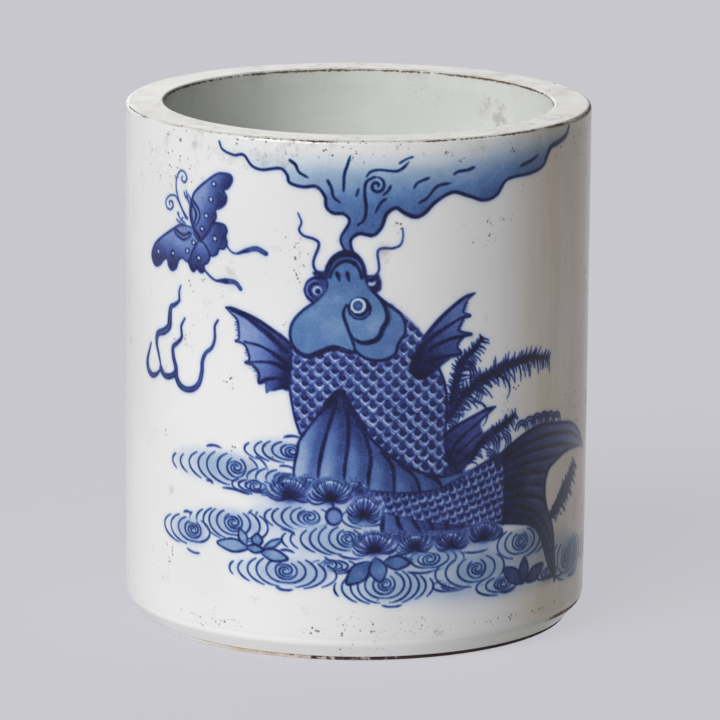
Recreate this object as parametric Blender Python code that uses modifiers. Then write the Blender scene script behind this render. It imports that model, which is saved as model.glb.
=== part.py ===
"""A porcelain brush pot: a thick straight cylinder that stands on a desk and holds writing brushes upright.

The pot is a body of revolution about +Z, with its origin at the centre of the foot's resting face. Its clay is put
together from three sections, which are joined with slip before firing: a base slab, a wall cylinder that stands round
the slab's raised middle, and a foot ring keyed into a groove under the slab. Four coats of glaze lie on the clay. They
end where the glaze has drawn back from the edges of the lip and from the foot, and the bare clay shows there.

Run it with: blender --background --python part.py
"""

from math import cos, pi, radians, sin

import bmesh
import bpy

MM = 0.001
TURN_STEPS = 96  # facets round the axis
ARC_STEPS = 4  # facets in a rounded edge

# Driving dimensions, in metres. The radii are those of the finished, glazed surface.
HEIGHT = 140.0 * MM
OUTER_RADIUS = 62.5 * MM
MOUTH_RADIUS = 52.2 * MM

# The wall draws in a little towards the foot.
TAPER = 0.4 * MM
TAPER_HEIGHT = 50.0 * MM

# A glaze coat and the slip or gap behind it.
GLAZE = 0.5 * MM
GAP = 0.3 * MM
SKIN = GLAZE + GAP

# The lip's rounded edges, where the coats part.
LIP_OUTER_ROUND = 1.2 * MM
LIP_INNER_ROUND = 0.9 * MM
EDGE_ANGLE = 45.0  # degrees above the horizon, where each edge is bare
BARE_HALF_ANGLE = {LIP_OUTER_ROUND: 7.5, LIP_INNER_ROUND: 10.0}

# The chamfer that undercuts the wall, as points on the glaze.
CHAMFER_TOP = (OUTER_RADIUS - TAPER, 5.4 * MM)
CHAMFER_FOOT = (58.3 * MM, 1.2 * MM)

# The foot ring, unglazed outside, underneath and inside.
FOOT_OUTER = 57.75 * MM
FOOT_INNER = 49.0 * MM
FOOT_HEIGHT = 3.5 * MM
FOOT_ROUND = 0.5 * MM
KEY_RADII = (51.5 * MM, 54.5 * MM)
KEY_HEIGHT = 1.2 * MM

# The base slab: a disc as wide as the pot, with a raised middle that locates the wall.
SLAB_BOTTOM = FOOT_HEIGHT + GAP
SLAB_SHOULDER = 8.0 * MM
SLAB_TOP = 11.0 * MM

# The inside floor, with glaze pooled in its corner.
FLOOR = SLAB_TOP + SKIN
FLOOR_CORNER = 3.0 * MM

# The glazed disc in the recess underneath.
BASE_GLAZE_BOTTOM = SLAB_BOTTOM - SKIN

BISCUIT = {"colour": (0.84, 0.79, 0.70), "roughness": 0.75}
FOOT_BISCUIT = {"colour": (0.55, 0.42, 0.30), "roughness": 0.85}
WHITE_GLAZE = {"colour": (0.86, 0.86, 0.84), "roughness": 0.15}
LIP_GLAZE = {"colour": (0.84, 0.83, 0.80), "roughness": 0.18}
INNER_GLAZE = {"colour": (0.72, 0.76, 0.73), "roughness": 0.15}


def clear_scene():
    for obj in list(bpy.data.objects):
        bpy.data.objects.remove(obj)


def make_collection(name):
    collection = bpy.data.collections.new(name)
    bpy.context.scene.collection.children.link(collection)
    return collection


def make_material(name, finish):
    material = bpy.data.materials.new(name)
    material.use_nodes = True
    shader = material.node_tree.nodes["Principled BSDF"]
    shader.inputs["Base Color"].default_value = (*finish["colour"], 1.0)
    shader.inputs["Roughness"].default_value = finish["roughness"]
    shader.inputs["Metallic"].default_value = 0.0
    return material


def arc(centre, radius, start, end, steps=ARC_STEPS):
    """Points (r, z) on an arc, from one angle to another, in degrees above the outward horizon."""
    turns = [radians(start + (end - start) * i / steps) for i in range(steps + 1)]
    return [(centre[0] + radius * cos(a), centre[1] + radius * sin(a)) for a in turns]


def wall_radius(z):
    """The glazed wall's radius: straight, then drawing in towards the foot."""
    below = max(0.0, 1.0 - z / TAPER_HEIGHT)
    return OUTER_RADIUS - TAPER * below**2


def wall_side(top, bottom, depth, steps=6):
    """Points down the wall, at a depth below the glaze's surface, closer together where the wall draws in."""
    levels = [top] + [TAPER_HEIGHT + (bottom - TAPER_HEIGHT) * i / steps for i in range(steps + 1)]
    return [(wall_radius(z) - depth, z) for z in levels]


def chamfer_point(z, depth):
    """The point at height z on the chamfer's line, moved in by a depth square to the chamfer."""
    run = CHAMFER_TOP[0] - CHAMFER_FOOT[0]
    drop = CHAMFER_TOP[1] - CHAMFER_FOOT[1]
    length = (run**2 + drop**2) ** 0.5
    inset = (CHAMFER_TOP[0] - depth * drop / length, CHAMFER_TOP[1] + depth * run / length)
    return (inset[0] - run * (inset[1] - z) / drop, z)


def lip_arc(edge_radius, depth, start, end):
    """An arc round one of the lip's edges: the outer edge for angles under 90 degrees, the inner one above."""
    outer = max(start, end) <= 90.0
    centre_r = OUTER_RADIUS - edge_radius if outer else MOUTH_RADIUS + edge_radius
    return arc((centre_r, HEIGHT - edge_radius), edge_radius - depth, start, end)


def turn(name, outline, material, collection, on_axis=False):
    """A solid turned about +Z from an outline of (r, z) points.

    The outline runs down the outer side, in along the bottom, up the inner side and out along the top. With on_axis
    it starts and ends on the axis, and otherwise it closes into a ring's section.
    """
    shape = bmesh.new()
    points = [shape.verts.new((r, 0.0, z)) for r, z in outline]
    for first, second in zip(points, points[1:]):
        shape.edges.new((first, second))
    if not on_axis:
        shape.edges.new((points[-1], points[0]))
    mesh = bpy.data.meshes.new(name)
    shape.to_mesh(mesh)
    shape.free()
    mesh.materials.append(material)
    obj = bpy.data.objects.new(name, mesh)
    collection.objects.link(obj)
    screw = obj.modifiers.new("Turn", "SCREW")
    screw.axis = "Z"
    screw.angle = 2.0 * pi
    screw.steps = TURN_STEPS
    screw.render_steps = TURN_STEPS
    screw.use_merge_vertices = True
    screw.merge_threshold = 0.01 * MM
    screw.use_smooth_shade = True
    return obj


def build_wall(collection):
    """The clay cylinder. It stands on the slab's shoulder, round its raised middle."""
    outline = lip_arc(LIP_OUTER_ROUND, SKIN, 90.0, 0.0)
    outline += wall_side(HEIGHT - 4.0 * MM, SLAB_SHOULDER + GAP, SKIN)
    outline += [(MOUTH_RADIUS + SKIN, SLAB_SHOULDER + GAP)]
    outline += lip_arc(LIP_INNER_ROUND, SKIN, 180.0, 90.0)
    return turn("wall_cylinder", outline, make_material("wall_biscuit", BISCUIT), collection)


def build_slab(collection):
    """The clay floor of the pot, with a groove underneath for the foot ring's key."""
    groove_in, groove_out = KEY_RADII[0] - GAP, KEY_RADII[1] + GAP
    groove_top = FOOT_HEIGHT + KEY_HEIGHT + GAP
    shoulder_r = wall_radius(SLAB_SHOULDER) - SKIN
    chamfer_z = CHAMFER_TOP[1] + 0.5 * SKIN
    outline = [
        (0.0, SLAB_TOP),
        (MOUTH_RADIUS + GLAZE, SLAB_TOP),
        (MOUTH_RADIUS + GLAZE, SLAB_SHOULDER),
        (shoulder_r, SLAB_SHOULDER),
        chamfer_point(chamfer_z, SKIN),
        chamfer_point(SLAB_BOTTOM, SKIN),
        (groove_out, SLAB_BOTTOM),
        (groove_out, groove_top),
        (groove_in, groove_top),
        (groove_in, SLAB_BOTTOM),
        (0.0, SLAB_BOTTOM),
    ]
    return turn("base_slab", outline, make_material("slab_biscuit", BISCUIT), collection, on_axis=True)


def build_foot(collection):
    """The turned foot ring, bare clay all over, with a key that stands in the slab's groove."""
    outline = [
        (KEY_RADII[0], FOOT_HEIGHT),
        (KEY_RADII[0], FOOT_HEIGHT + KEY_HEIGHT),
        (KEY_RADII[1], FOOT_HEIGHT + KEY_HEIGHT),
        (KEY_RADII[1], FOOT_HEIGHT),
        chamfer_point(FOOT_HEIGHT, SKIN),
        chamfer_point(CHAMFER_FOOT[1] + SKIN, SKIN),
    ]
    outline += arc((FOOT_OUTER - FOOT_ROUND, FOOT_ROUND), FOOT_ROUND, 0.0, -90.0)
    outline += arc((FOOT_INNER + FOOT_ROUND, FOOT_ROUND), FOOT_ROUND, -90.0, -180.0)
    outline += [(FOOT_INNER, FOOT_HEIGHT)]
    return turn("foot_ring", outline, make_material("foot_biscuit", FOOT_BISCUIT), collection)


def build_outer_glaze(collection):
    """The coat on the outside, from the lip's outer edge down over the chamfer."""
    bare = EDGE_ANGLE - BARE_HALF_ANGLE[LIP_OUTER_ROUND]
    corner_z = CHAMFER_TOP[1]
    outline = lip_arc(LIP_OUTER_ROUND, 0.0, bare, 0.0)
    outline += wall_side(HEIGHT - 4.0 * MM, corner_z, 0.0)
    outline += [CHAMFER_FOOT]
    inside = [chamfer_point(CHAMFER_FOOT[1] + 0.4 * MM, GLAZE)]
    inside += list(reversed(wall_side(HEIGHT - 4.0 * MM, corner_z + 0.4 * GLAZE, GLAZE)))
    inside += lip_arc(LIP_OUTER_ROUND, GLAZE, 0.0, bare)
    return turn("outer_glaze", outline + inside, make_material("outer_glaze", WHITE_GLAZE), collection)


def build_lip_glaze(collection):
    """The flat coat on the lip, between its two bare edges."""
    outer = EDGE_ANGLE + BARE_HALF_ANGLE[LIP_OUTER_ROUND]
    inner = 180.0 - EDGE_ANGLE - BARE_HALF_ANGLE[LIP_INNER_ROUND]
    outline = lip_arc(LIP_OUTER_ROUND, 0.0, 90.0, outer)
    outline += lip_arc(LIP_OUTER_ROUND, GLAZE, outer, 90.0)
    outline += lip_arc(LIP_INNER_ROUND, GLAZE, 90.001, inner)
    outline += lip_arc(LIP_INNER_ROUND, 0.0, inner, 90.001)
    return turn("lip_glaze", outline, make_material("lip_glaze", LIP_GLAZE), collection)


def build_inner_glaze(collection):
    """The coat inside the pot, from the lip's inner edge down the wall and over the floor."""
    bare = 180.0 - EDGE_ANGLE + BARE_HALF_ANGLE[LIP_INNER_ROUND]
    corner = (MOUTH_RADIUS - FLOOR_CORNER, FLOOR + FLOOR_CORNER)
    inside = [(0.0, FLOOR)] + arc(corner, FLOOR_CORNER, -90.0, 0.0)
    inside += lip_arc(LIP_INNER_ROUND, 0.0, 180.0, bare)
    outside = lip_arc(LIP_INNER_ROUND, GLAZE, bare, 180.0)
    outside += [(MOUTH_RADIUS + GLAZE, SLAB_TOP + GAP), (0.0, SLAB_TOP + GAP)]
    return turn("inner_glaze", inside + outside, make_material("inner_glaze", INNER_GLAZE), collection, on_axis=True)


def build_base_glaze(collection):
    """The glazed disc in the recess inside the foot ring."""
    edge = FOOT_INNER - GAP
    outline = [
        (0.0, BASE_GLAZE_BOTTOM + GLAZE),
        (edge, BASE_GLAZE_BOTTOM + GLAZE),
        (edge, BASE_GLAZE_BOTTOM + 0.5 * GLAZE),
        (edge - 0.5 * GLAZE, BASE_GLAZE_BOTTOM),
        (0.0, BASE_GLAZE_BOTTOM),
    ]
    return turn("base_glaze", outline, make_material("base_glaze", WHITE_GLAZE), collection, on_axis=True)


def main():
    clear_scene()
    pot = make_collection("brush_pot")
    for build in (
        build_wall,
        build_slab,
        build_foot,
        build_outer_glaze,
        build_lip_glaze,
        build_inner_glaze,
        build_base_glaze,
    ):
        build(pot)


main()
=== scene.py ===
"""The looks of a blue and white porcelain brush pot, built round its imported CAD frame.

The wall's picture is painted by brush strokes worked out below, on the wall unrolled flat. It is stored as a
density of cobalt at each point of the outer glaze, and the glaze's material turns that into blue.
"""

from math import cos, pi, radians, sin

import bpy
import numpy as np
from mathutils import Matrix, Vector


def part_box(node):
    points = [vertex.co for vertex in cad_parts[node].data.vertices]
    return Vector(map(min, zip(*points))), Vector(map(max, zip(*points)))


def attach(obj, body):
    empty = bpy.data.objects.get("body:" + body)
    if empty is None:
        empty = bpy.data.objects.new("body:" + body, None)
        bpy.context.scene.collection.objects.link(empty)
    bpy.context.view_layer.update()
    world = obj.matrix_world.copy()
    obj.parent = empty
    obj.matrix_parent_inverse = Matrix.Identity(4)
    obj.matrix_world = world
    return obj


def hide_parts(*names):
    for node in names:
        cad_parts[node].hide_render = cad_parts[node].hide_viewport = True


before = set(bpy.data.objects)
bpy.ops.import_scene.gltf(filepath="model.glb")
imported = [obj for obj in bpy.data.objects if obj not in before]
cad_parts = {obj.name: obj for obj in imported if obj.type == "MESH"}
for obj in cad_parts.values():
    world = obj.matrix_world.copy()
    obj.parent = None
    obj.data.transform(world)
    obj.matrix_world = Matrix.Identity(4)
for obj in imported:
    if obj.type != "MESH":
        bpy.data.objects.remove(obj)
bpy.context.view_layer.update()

MM = 0.001

# ---- The painting. Its plan is the wall unrolled flat, in millimetres: s runs round the wall to the right
# from the middle of the front, and z runs up from the desk.
PITCH = 0.25  # the step of the plan's grid
PAINT_LOW = (-72.0, 12.0)
PAINT_HIGH = (118.0, 139.0)
EDGE = 0.4  # how softly a brush mark ends
STEP = 0.3  # how far apart a path's points lie


def smooth_path(points, closed=False):
    """Points about a step apart on a smooth curve through the given ones."""
    knots = np.asarray(points, float)
    if closed:
        knots = np.vstack([knots[-1:], knots, knots[:2]])
    else:
        knots = np.vstack([2 * knots[0] - knots[1], knots, 2 * knots[-1] - knots[-2]])
    pieces = []
    for a, b, c, d in zip(knots, knots[1:], knots[2:], knots[3:]):
        t = np.linspace(0.0, 1.0, int(np.hypot(*(c - b)) / STEP) + 2, endpoint=False)[:, None]
        bend = 2 * a - 5 * b + 4 * c - d + t * (3 * b - a - 3 * c + d)
        pieces.append(b + 0.5 * t * (c - a + t * bend))
    if not closed:
        pieces.append(knots[-2:-1])
    return np.vstack(pieces)


def arc_path(centre, radii, start=0.0, end=350.0):
    """Points on an arc of an ellipse, from one angle to another, in degrees. Without them it is the whole."""
    turn = np.radians(np.linspace(start, end, int(abs(end - start) / 360.0 * 6.3 * max(radii) / STEP) + 4))
    return np.asarray(centre) + np.column_stack([radii[0] * np.cos(turn), radii[1] * np.sin(turn)])


def spiral_path(centre, radius, turns, start, flat=1.0):
    """Points on a spiral that opens from near the centre out to the radius."""
    t = np.linspace(0.12, 1.0, int(radius * turns * 14) + 8)
    turn = np.radians(start) + 2.0 * np.pi * turns * (t - 1.0)
    return np.asarray(centre) + np.column_stack([radius * t * np.cos(turn), flat * radius * t * np.sin(turn)])


def rotated(points, degrees):
    """The points turned about the origin, against the clock."""
    c, s = np.cos(np.radians(degrees)), np.sin(np.radians(degrees))
    return np.asarray(points, float) @ np.array([[c, s], [-s, c]])


def blurred(field, cells):
    """The field averaged over a few cells each way."""
    reach = int(2 * cells) + 1
    taps = np.exp(-0.5 * (np.arange(-reach, reach + 1) / max(cells, 0.01)) ** 2)
    taps /= taps.sum()
    for axis in (0, 1):
        padded = np.pad(field, [(reach, reach) if a == axis else (0, 0) for a in (0, 1)], mode="edge")
        size = field.shape[axis]
        field = sum(w * np.take(padded, range(i, i + size), axis) for i, w in enumerate(taps))
    return field


def ramp(low, high, tones):
    """A tone that runs evenly from the first at one point of the plan to the last at another."""
    start = np.asarray(low, float)
    along = np.asarray(high, float) - start
    length = along @ along

    def tone(s, z):
        t = np.clip(((s - start[0]) * along[0] + (z - start[1]) * along[1]) / length, 0.0, 1.0)
        return np.interp(t, np.linspace(0.0, 1.0, len(tones)), tones)

    return tone


class Painting:
    """Cobalt on the wall, from 0 for none to 1 for the darkest line, at each point of a fine grid."""

    def __init__(self, seed):
        self.s = np.arange(PAINT_LOW[0], PAINT_HIGH[0] + 0.5 * PITCH, PITCH)
        self.z = np.arange(PAINT_LOW[1], PAINT_HIGH[1] + 0.5 * PITCH, PITCH)
        self.cobalt = np.zeros((len(self.z), len(self.s)))
        self.cool = np.zeros_like(self.cobalt)
        self.random = np.random.default_rng(seed)

    def window(self, points, margin):
        """The part of the grid that holds the points and a margin round them."""
        low = np.floor((points.min(0) - margin - PAINT_LOW) / PITCH).astype(int)
        high = np.ceil((points.max(0) + margin - PAINT_LOW) / PITCH).astype(int) + 1
        low = np.clip(low, 0, [len(self.s) - 1, len(self.z) - 1])
        high = np.clip(high, low + 1, [len(self.s), len(self.z)])
        return slice(low[1], high[1]), slice(low[0], high[0])

    def lay(self, where, cover, tone):
        """Covers what lies there with a tone, which may be lighter than it was."""
        if callable(tone):
            tone = tone(*np.meshgrid(self.s[where[1]], self.z[where[0]]))
        self.cobalt[where] += cover * (tone - self.cobalt[where])

    def inside(self, path, where):
        """1 within a closed path and 0 outside it, over part of the grid."""
        rows, cols = where
        shape = (rows.stop - rows.start, cols.stop - cols.start)
        hits = np.zeros((shape[0], shape[1] + 1))
        cells = (path - PAINT_LOW) / PITCH - (cols.start, rows.start)
        for (x0, y0), (x1, y1) in zip(cells, np.roll(cells, -1, axis=0)):
            crossed = np.arange(max(0, int(np.ceil(min(y0, y1)))), min(shape[0], int(np.ceil(max(y0, y1)))))
            if crossed.size:
                at = np.ceil(x0 + (crossed - y0) * (x1 - x0) / (y1 - y0)).astype(int)
                np.add.at(hits, (crossed, np.clip(at, 0, shape[1])), 1)
        return (np.cumsum(hits, axis=1)[:, :-1] % 2).astype(float)

    def patch(self, outline, soft):
        """The part of the grid round an outline, and how far each of its points is within it, from 0 to 1."""
        path = smooth_path(outline, closed=True)
        where = self.window(path, 3 * soft + 1)
        return where, blurred(self.inside(path, where), soft / PITCH)

    def region(self, outline):
        """How far each point of the whole grid is within an outline, from 0 to 1."""
        where, share = self.patch(outline, 0.25)
        cover = np.zeros_like(self.cobalt)
        cover[where] = share
        return cover

    def wash(self, outline, tone, soft=0.25, strength=1, within=None, cool=None):
        """Fills an outline with a tone, or one that changes over the plan. Cool cobalt leans to green."""
        where, share = self.patch(outline, soft)
        cover = strength * share
        if within is not None:
            cover = cover * within[where]
        self.lay(where, cover, tone)
        if cool is not None:
            self.cool[where] += cover * (cool - self.cool[where])

    def strokes(self, paths, width, tone, ends=(0.5, 0.3), lift=0.12, within=None):
        """Brush marks of one tone. Their ends thin to shares of the width, over a share of the length."""
        where = self.window(np.vstack(paths), width + 1)
        cover = np.zeros((where[0].stop - where[0].start, where[1].stop - where[1].start))
        reach = int(np.ceil((0.5 * width * 1.2 + EDGE) / PITCH))
        up, over = np.mgrid[-reach : reach + 1, -reach : reach + 1]
        for path in paths:
            along = np.linspace(0, 1, len(path))
            start = ends[0] + (1 - ends[0]) * along / lift
            finish = ends[1] + (1 - ends[1]) * (1 - along) / lift
            press = np.minimum(1, np.minimum(start, finish))
            sway = 1 + 0.12 * np.sin(along * (3 + 0.25 * len(path) ** 0.5) + self.random.uniform(0, 6.3))
            radius = (0.5 * width * press * sway)[:, None, None]
            cells = (path - PAINT_LOW) / PITCH - (where[1].start, where[0].start)
            cols, rows = cells.T[:, :, None, None]
            near_rows, near_cols = np.round(rows).astype(int) + up, np.round(cols).astype(int) + over
            away = PITCH * np.hypot(near_rows - rows, near_cols - cols)
            mark = np.clip(0.5 + (radius - away) / EDGE, 0, 1)
            good = (near_rows >= 0) & (near_rows < cover.shape[0]) & (mark > 0)
            good &= (near_cols >= 0) & (near_cols < cover.shape[1])
            np.maximum.at(cover, (near_rows[good], near_cols[good]), mark[good])
        if within is not None:
            cover = cover * within[where]
        self.lay(where, cover, tone)

    def lines(self, ways, width, tone=0.95, closed=False, **brush):
        """Brush lines through the points of each way."""
        self.strokes([smooth_path(way, closed) for way in ways], width, tone, **brush)

    def line(self, way, width, tone=0.95, **brush):
        self.lines([way], width, tone, **brush)

    def dot(self, centre, radius, tone):
        """A round dab of one tone."""
        self.wash(arc_path(centre, (radius, radius))[::2], tone, soft=0.12)

    def sample(self, field, s, z):
        """A field's values at any places on the plan, read between the grid's points, and 0 off the grid."""
        s, z = np.broadcast_arrays(s, z)
        col = np.clip((s - self.s[0]) / PITCH, 0, len(self.s) - 1.001)
        row = np.clip((z - self.z[0]) / PITCH, 0, len(self.z) - 1.001)
        i, j = row.astype(int), col.astype(int)
        u, v = row - i, col - j
        low = field[i, j] * (1 - v) + field[i, j + 1] * v
        high = field[i + 1, j] * (1 - v) + field[i + 1, j + 1] * v
        on_grid = (s >= self.s[0]) & (s <= self.s[-1]) & (z >= self.z[0])
        return np.where(on_grid, low * (1 - u) + high * u, 0)

    # ---- Waves, foam and weed.

    def whirl(self, core, left, right, pitch, height):
        """A whirl of water: two curls that meet in the middle, and arcs that drift from it to either side."""
        core = np.asarray(core, float)
        reach = (2.6 + pitch * left, 2.6 + pitch * right)
        middle = core + (0.5 * (reach[1] - reach[0]), -0.15 * height)
        cool = np.interp(core[0], (-20, 40), (0.5, 1))
        tone = np.interp(core[0], (-45, 0, 40, 80, 92), (0.09, 0.15, 0.2, 0.27, 0.1))
        self.wash(arc_path(middle, (0.5 * sum(reach), 1.05 * height))[::4], tone, soft=1, cool=cool)
        middle += (0.12 * sum(reach), 0.1)
        tone = np.interp(core[0], (15, 60, 72, 92), (0.26, 0.42, 0.55, 0.18))
        self.wash(arc_path(middle, (0.34 * sum(reach), 0.85 * height))[::4], tone, soft=1.2, strength=0.85)
        curl = spiral_path(core, 2.5, 1.25, self.random.uniform(120, 200), 0.72)
        paths = [curl, (2 * core - curl)[len(curl) // 4 :]]
        for side, count in ((-1, left), (1, right)):
            paths += [self.drift(core, side, ring, pitch, height) for ring in range(count + 1)]
        self.strokes(paths, 0.5, 0.92, ends=(0.7, 0.5), lift=0.2)

    def drift(self, core, side, ring, pitch, height):
        """One arc of a whirl. The inner ones pass under the core. Those further out are short and upright."""
        far = 2.9 + pitch * ring + self.random.uniform(-0.25, 0.25)
        wide = 0.78 * far + 0.64
        high = height * min(1.15, 0.62 + 0.24 * ring)
        out = max(0, ring - 1)
        top = max(20, 60 - 9.5 * out) + self.random.uniform(-7, 7)
        tail = max(22, 100 - 18 * out) + self.random.uniform(-8, 8)
        arc = arc_path((wide - far, -0.05 * high * out), (wide, high), 180 - top, 180 + tail)
        return core + arc * (-side, 1)

    def foam(self, foot, width, height, low):
        """A head of foam: fine petal lines leave one foot on all sides, curl upwards, and end in a comb."""
        foot = np.asarray(foot, float)
        bed = arc_path(foot + (0, 0.25 * height), (1.15 * width, 0.85 * height))
        self.wash(bed[::4], 0.28, soft=0.8, strength=0.85)
        rim = arc_path(foot + (0, 0.12 * height), (0.8 * width, 0.88 * height), 160, 20)
        self.strokes([rim], 1.3, 0.12, ends=(0.4, 0.4))
        paths = []
        for heading in np.linspace(-low, 180 + low, 23):
            around = np.radians(heading)
            length = 1.08 * np.hypot(1.15 * width * np.cos(around), 0.85 * height * np.sin(around))
            length *= self.random.uniform(0.78, 1.06)
            t = np.linspace(0, 1, int(length / 0.2) + 4)
            turn = np.radians(heading + (90 - heading) * 0.8 * t**2.2 + self.random.uniform(-4, 4))
            bend = np.column_stack([np.cos(turn), np.sin(turn)]) * length / len(t)
            paths.append(foot + np.cumsum(bend, axis=0))
        self.strokes(paths, 0.4, 0.95, ends=(1, 0.6), lift=0.3)
        self.teeth(rim[::6], 1.3, 1, every=0.7, tone=0.9)
        self.wash(arc_path(foot + (0, 0.3), (0.36 * width, 0.3 * height))[::3], 1, soft=0.7)

    def frond(self, stem, reach, body, every=0.72):
        """A feathery weed: a dark stem, short bristles above it, and long ones that hook down below it."""
        path = smooth_path(stem)
        self.strokes([path], 2.2 * body, 0.62, ends=(0.4, 0.3), lift=0.5)
        self.strokes([path], 1.2 * body, 0.97, ends=(0.5, 0.4), lift=0.5)
        steps = np.hypot(*np.diff(path, axis=0).T)
        travelled = np.concatenate([[0], np.cumsum(steps)])
        paths = []
        for at in np.arange(0, travelled[-1], every):
            i = min(int(np.searchsorted(travelled, at)), len(path) - 2)
            heading = np.degrees(np.arctan2(*(path[i + 1] - path[i])[::-1]))
            size = reach * (0.55 + 0.45 * np.sin(np.pi * min(1, 0.15 + 0.8 * at / travelled[-1])))
            for side, longer, curl in ((1, 0.9, 25), (-1, 1.35, 60)):
                length = size * longer * self.random.uniform(0.55, 1.2)
                t = np.linspace(0, 1, int(length / 0.25) + 5)
                lean = self.random.uniform(38, 62)
                turn = np.radians(heading + side * (lean + curl * self.random.uniform(0.4, 1) * t))
                bend = np.column_stack([np.cos(turn), np.sin(turn)]) * length / len(t)
                paths.append(path[i] + np.cumsum(bend, axis=0))
        self.strokes(paths, 0.55, 0.97, ends=(1, 0.5), lift=0.6)

    # ---- The parts of the fish.

    def scales(self, within, origin, heading, pitch, rows, count, size):
        """Overlapping scales in a diagonal lattice. Each is a pale, pointed mark that holds a dark patch."""
        lattice, patches, marks = [], [], []
        mark = np.array([(-1.2, 0.62), (-0.66, 0.04), (-0.04, -0.3), (0.56, 0.04), (1.02, 0.56)]) * size
        for row in range(rows):
            for i in range(count):
                place = np.array([(i + 0.5 * (row % 2)) * pitch[0], -row * pitch[1]])
                for side in (-1, 1):
                    corner = place + (0.5 * side * pitch[0], pitch[1])
                    link = np.linspace(place, corner, 8) - (0, 0.8 * size)
                    lattice.append(np.asarray(origin) + rotated(link, heading))
                place += self.random.normal(0, 0.07 * size, 2)
                tilt = heading + self.random.normal(0, 4)
                centre = np.asarray(origin) + rotated(place, heading)
                patch = np.array([(-0.55, 0.95), (0, 0.62), (0.55, 0.95)]) * size
                patches.append(centre + rotated(smooth_path(patch), tilt))
                marks.append(centre + rotated(smooth_path(mark) * self.random.uniform(0.88, 1.04), tilt))
        for share, tone in enumerate((0.03, 0.09, 0.17)):
            self.strokes(marks[share::3], 1.3 * size, tone, ends=(0.6, 0.25), lift=0.5, within=within)
        self.strokes(patches, 0.95 * size, 0.86, ends=(0.8, 0.8), within=within)
        self.strokes(lattice, 0.3 * size, 0.82, ends=(1, 1), within=within)

    def teeth(self, path, length, side, every=0.9, tone=0.85):
        """Short ticks along a fin's torn edge."""
        path = smooth_path(path)
        ticks = []
        for i in range(2, len(path) - 1, max(1, int(every / 0.3))):
            along = path[i + 1] - path[i - 1]
            out = side * np.array([-along[1], along[0]]) / (np.hypot(*along) + 1e-9)
            ticks.append(np.linspace(path[i], path[i] + out * length * self.random.uniform(0.6, 1.2), 5))
        self.strokes(ticks, 0.45, tone, ends=(1, 0.3), lift=0.8)


def paint_vapour(art):
    """Breath that rises from the fish's mouth and spreads under the rim."""
    left = [
        (-38.6, 137.6), (-37.5, 135.6), (-34, 134.5), (-31, 134.8), (-28.6, 132.2), (-25.6, 131.4),
        (-20.6, 132.1), (-18.7, 130.6), (-17.9, 128.5), (-14.5, 127.6), (-10.8, 127.8), (-8.6, 125.4),
        (-8.1, 122.5), (-6.3, 121), (-3.6, 120.8), (-2.1, 118.8), (-4.3, 114.4), (-3.3, 111.2),
    ]
    right = [
        (-1, 110.5), (-1.7, 112.6), (-1.5, 114.4), (0.6, 115.7), (4, 115.3), (6.2, 117.3), (7.6, 120.9),
        (10, 122.4), (12.2, 121.1), (15, 119.9), (17.6, 120.8), (20.8, 123.8), (25.4, 125.9), (30, 124.6),
        (34.6, 123.1), (38.6, 124.1), (41.4, 127.4), (44.5, 128.3), (51, 128.6), (55.8, 130.1),
        (58.8, 134.2), (63, 135.2), (66.6, 136.4), (68.4, 138.4),
    ]
    sky = [(66, 142), (10, 142), (-36, 142)]

    def depth(s, z):
        """How dark the breath is: it pales upwards and darkens to the right."""
        low = z - np.interp(s, (20, 62), (0, 3.2))
        upward = np.interp(low, (118, 123, 128, 131, 134, 137.5), (0.58, 0.52, 0.37, 0.27, 0.12, 0))
        return upward * np.interp(s, (-38, -22, -8, 6, 30, 62), (0.4, 0.66, 0.97, 1.05, 1.12, 1.5))

    art.wash(left + right + sky, depth, soft=0.3, cool=1)
    art.line(left, 0.76, 0.98, ends=(0.7, 0.9))
    art.line(right, 0.88, 1, ends=(0.9, 0.6))
    art.line(right[-5:], 1.2, 1, ends=(0.6, 0.7))
    wisps = [
        [(-17.9, 134.4), (-16.4, 133.3), (-15.4, 131.4), (-13, 130.1)],
        [(-7.8, 129.4), (-6.8, 127.5), (-6.3, 125.3), (-4.6, 123.8)],
    ]
    art.lines(wisps, 0.74, 1, ends=(0.9, 0.4))
    art.line([(-2, 136.2), (-2.8, 133.6), (-3.5, 131.2), (-3.7, 127)], 0.68, 1, ends=(0.4, 0.9))
    art.line([(0.2, 127.5), (-0.4, 125.5)], 0.62)
    neck = [(0.1, 118), (1.7, 119.4), (2.2, 122.5), (1.8, 126.5), (2.2, 129.3), (4.2, 130.6)]
    art.line(neck, 0.74, 1, ends=(0.9, 0.9))
    art.strokes([spiral_path((4.9, 128.3), 2.35, 1.55, 100)[::-1]], 0.72, 1)
    art.line([(2.2, 130.7), (3.3, 132), (5.6, 132.5), (9.6, 132.1), (11.6, 132.8), (13.3, 134.5)], 0.68, 1)
    art.line([(10.7, 134.1), (12.6, 135.2), (14.5, 135.8)], 0.55)
    for width, way in (
        (0.66, [(8.6, 128.3), (7.8, 126.9), (6.5, 125.8)]),
        (0.66, [(7.4, 124.9), (5.9, 123.7), (4.5, 121.1)]),
        (0.72, [(14.6, 127.5), (15.9, 129), (18.9, 130.1)]),
        (0.72, [(16.1, 123.6), (18.3, 124.8), (21, 127.7), (24.8, 128.4)]),
        (0.78, [(25.6, 130.6), (27, 131.3), (29.6, 131.5), (31.7, 132.1)]),
        (0.82, [(46.7, 130.9), (49.3, 131.5), (51.6, 132.2), (53.6, 133.1)]),
    ):
        art.line(way, width, 1)


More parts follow.
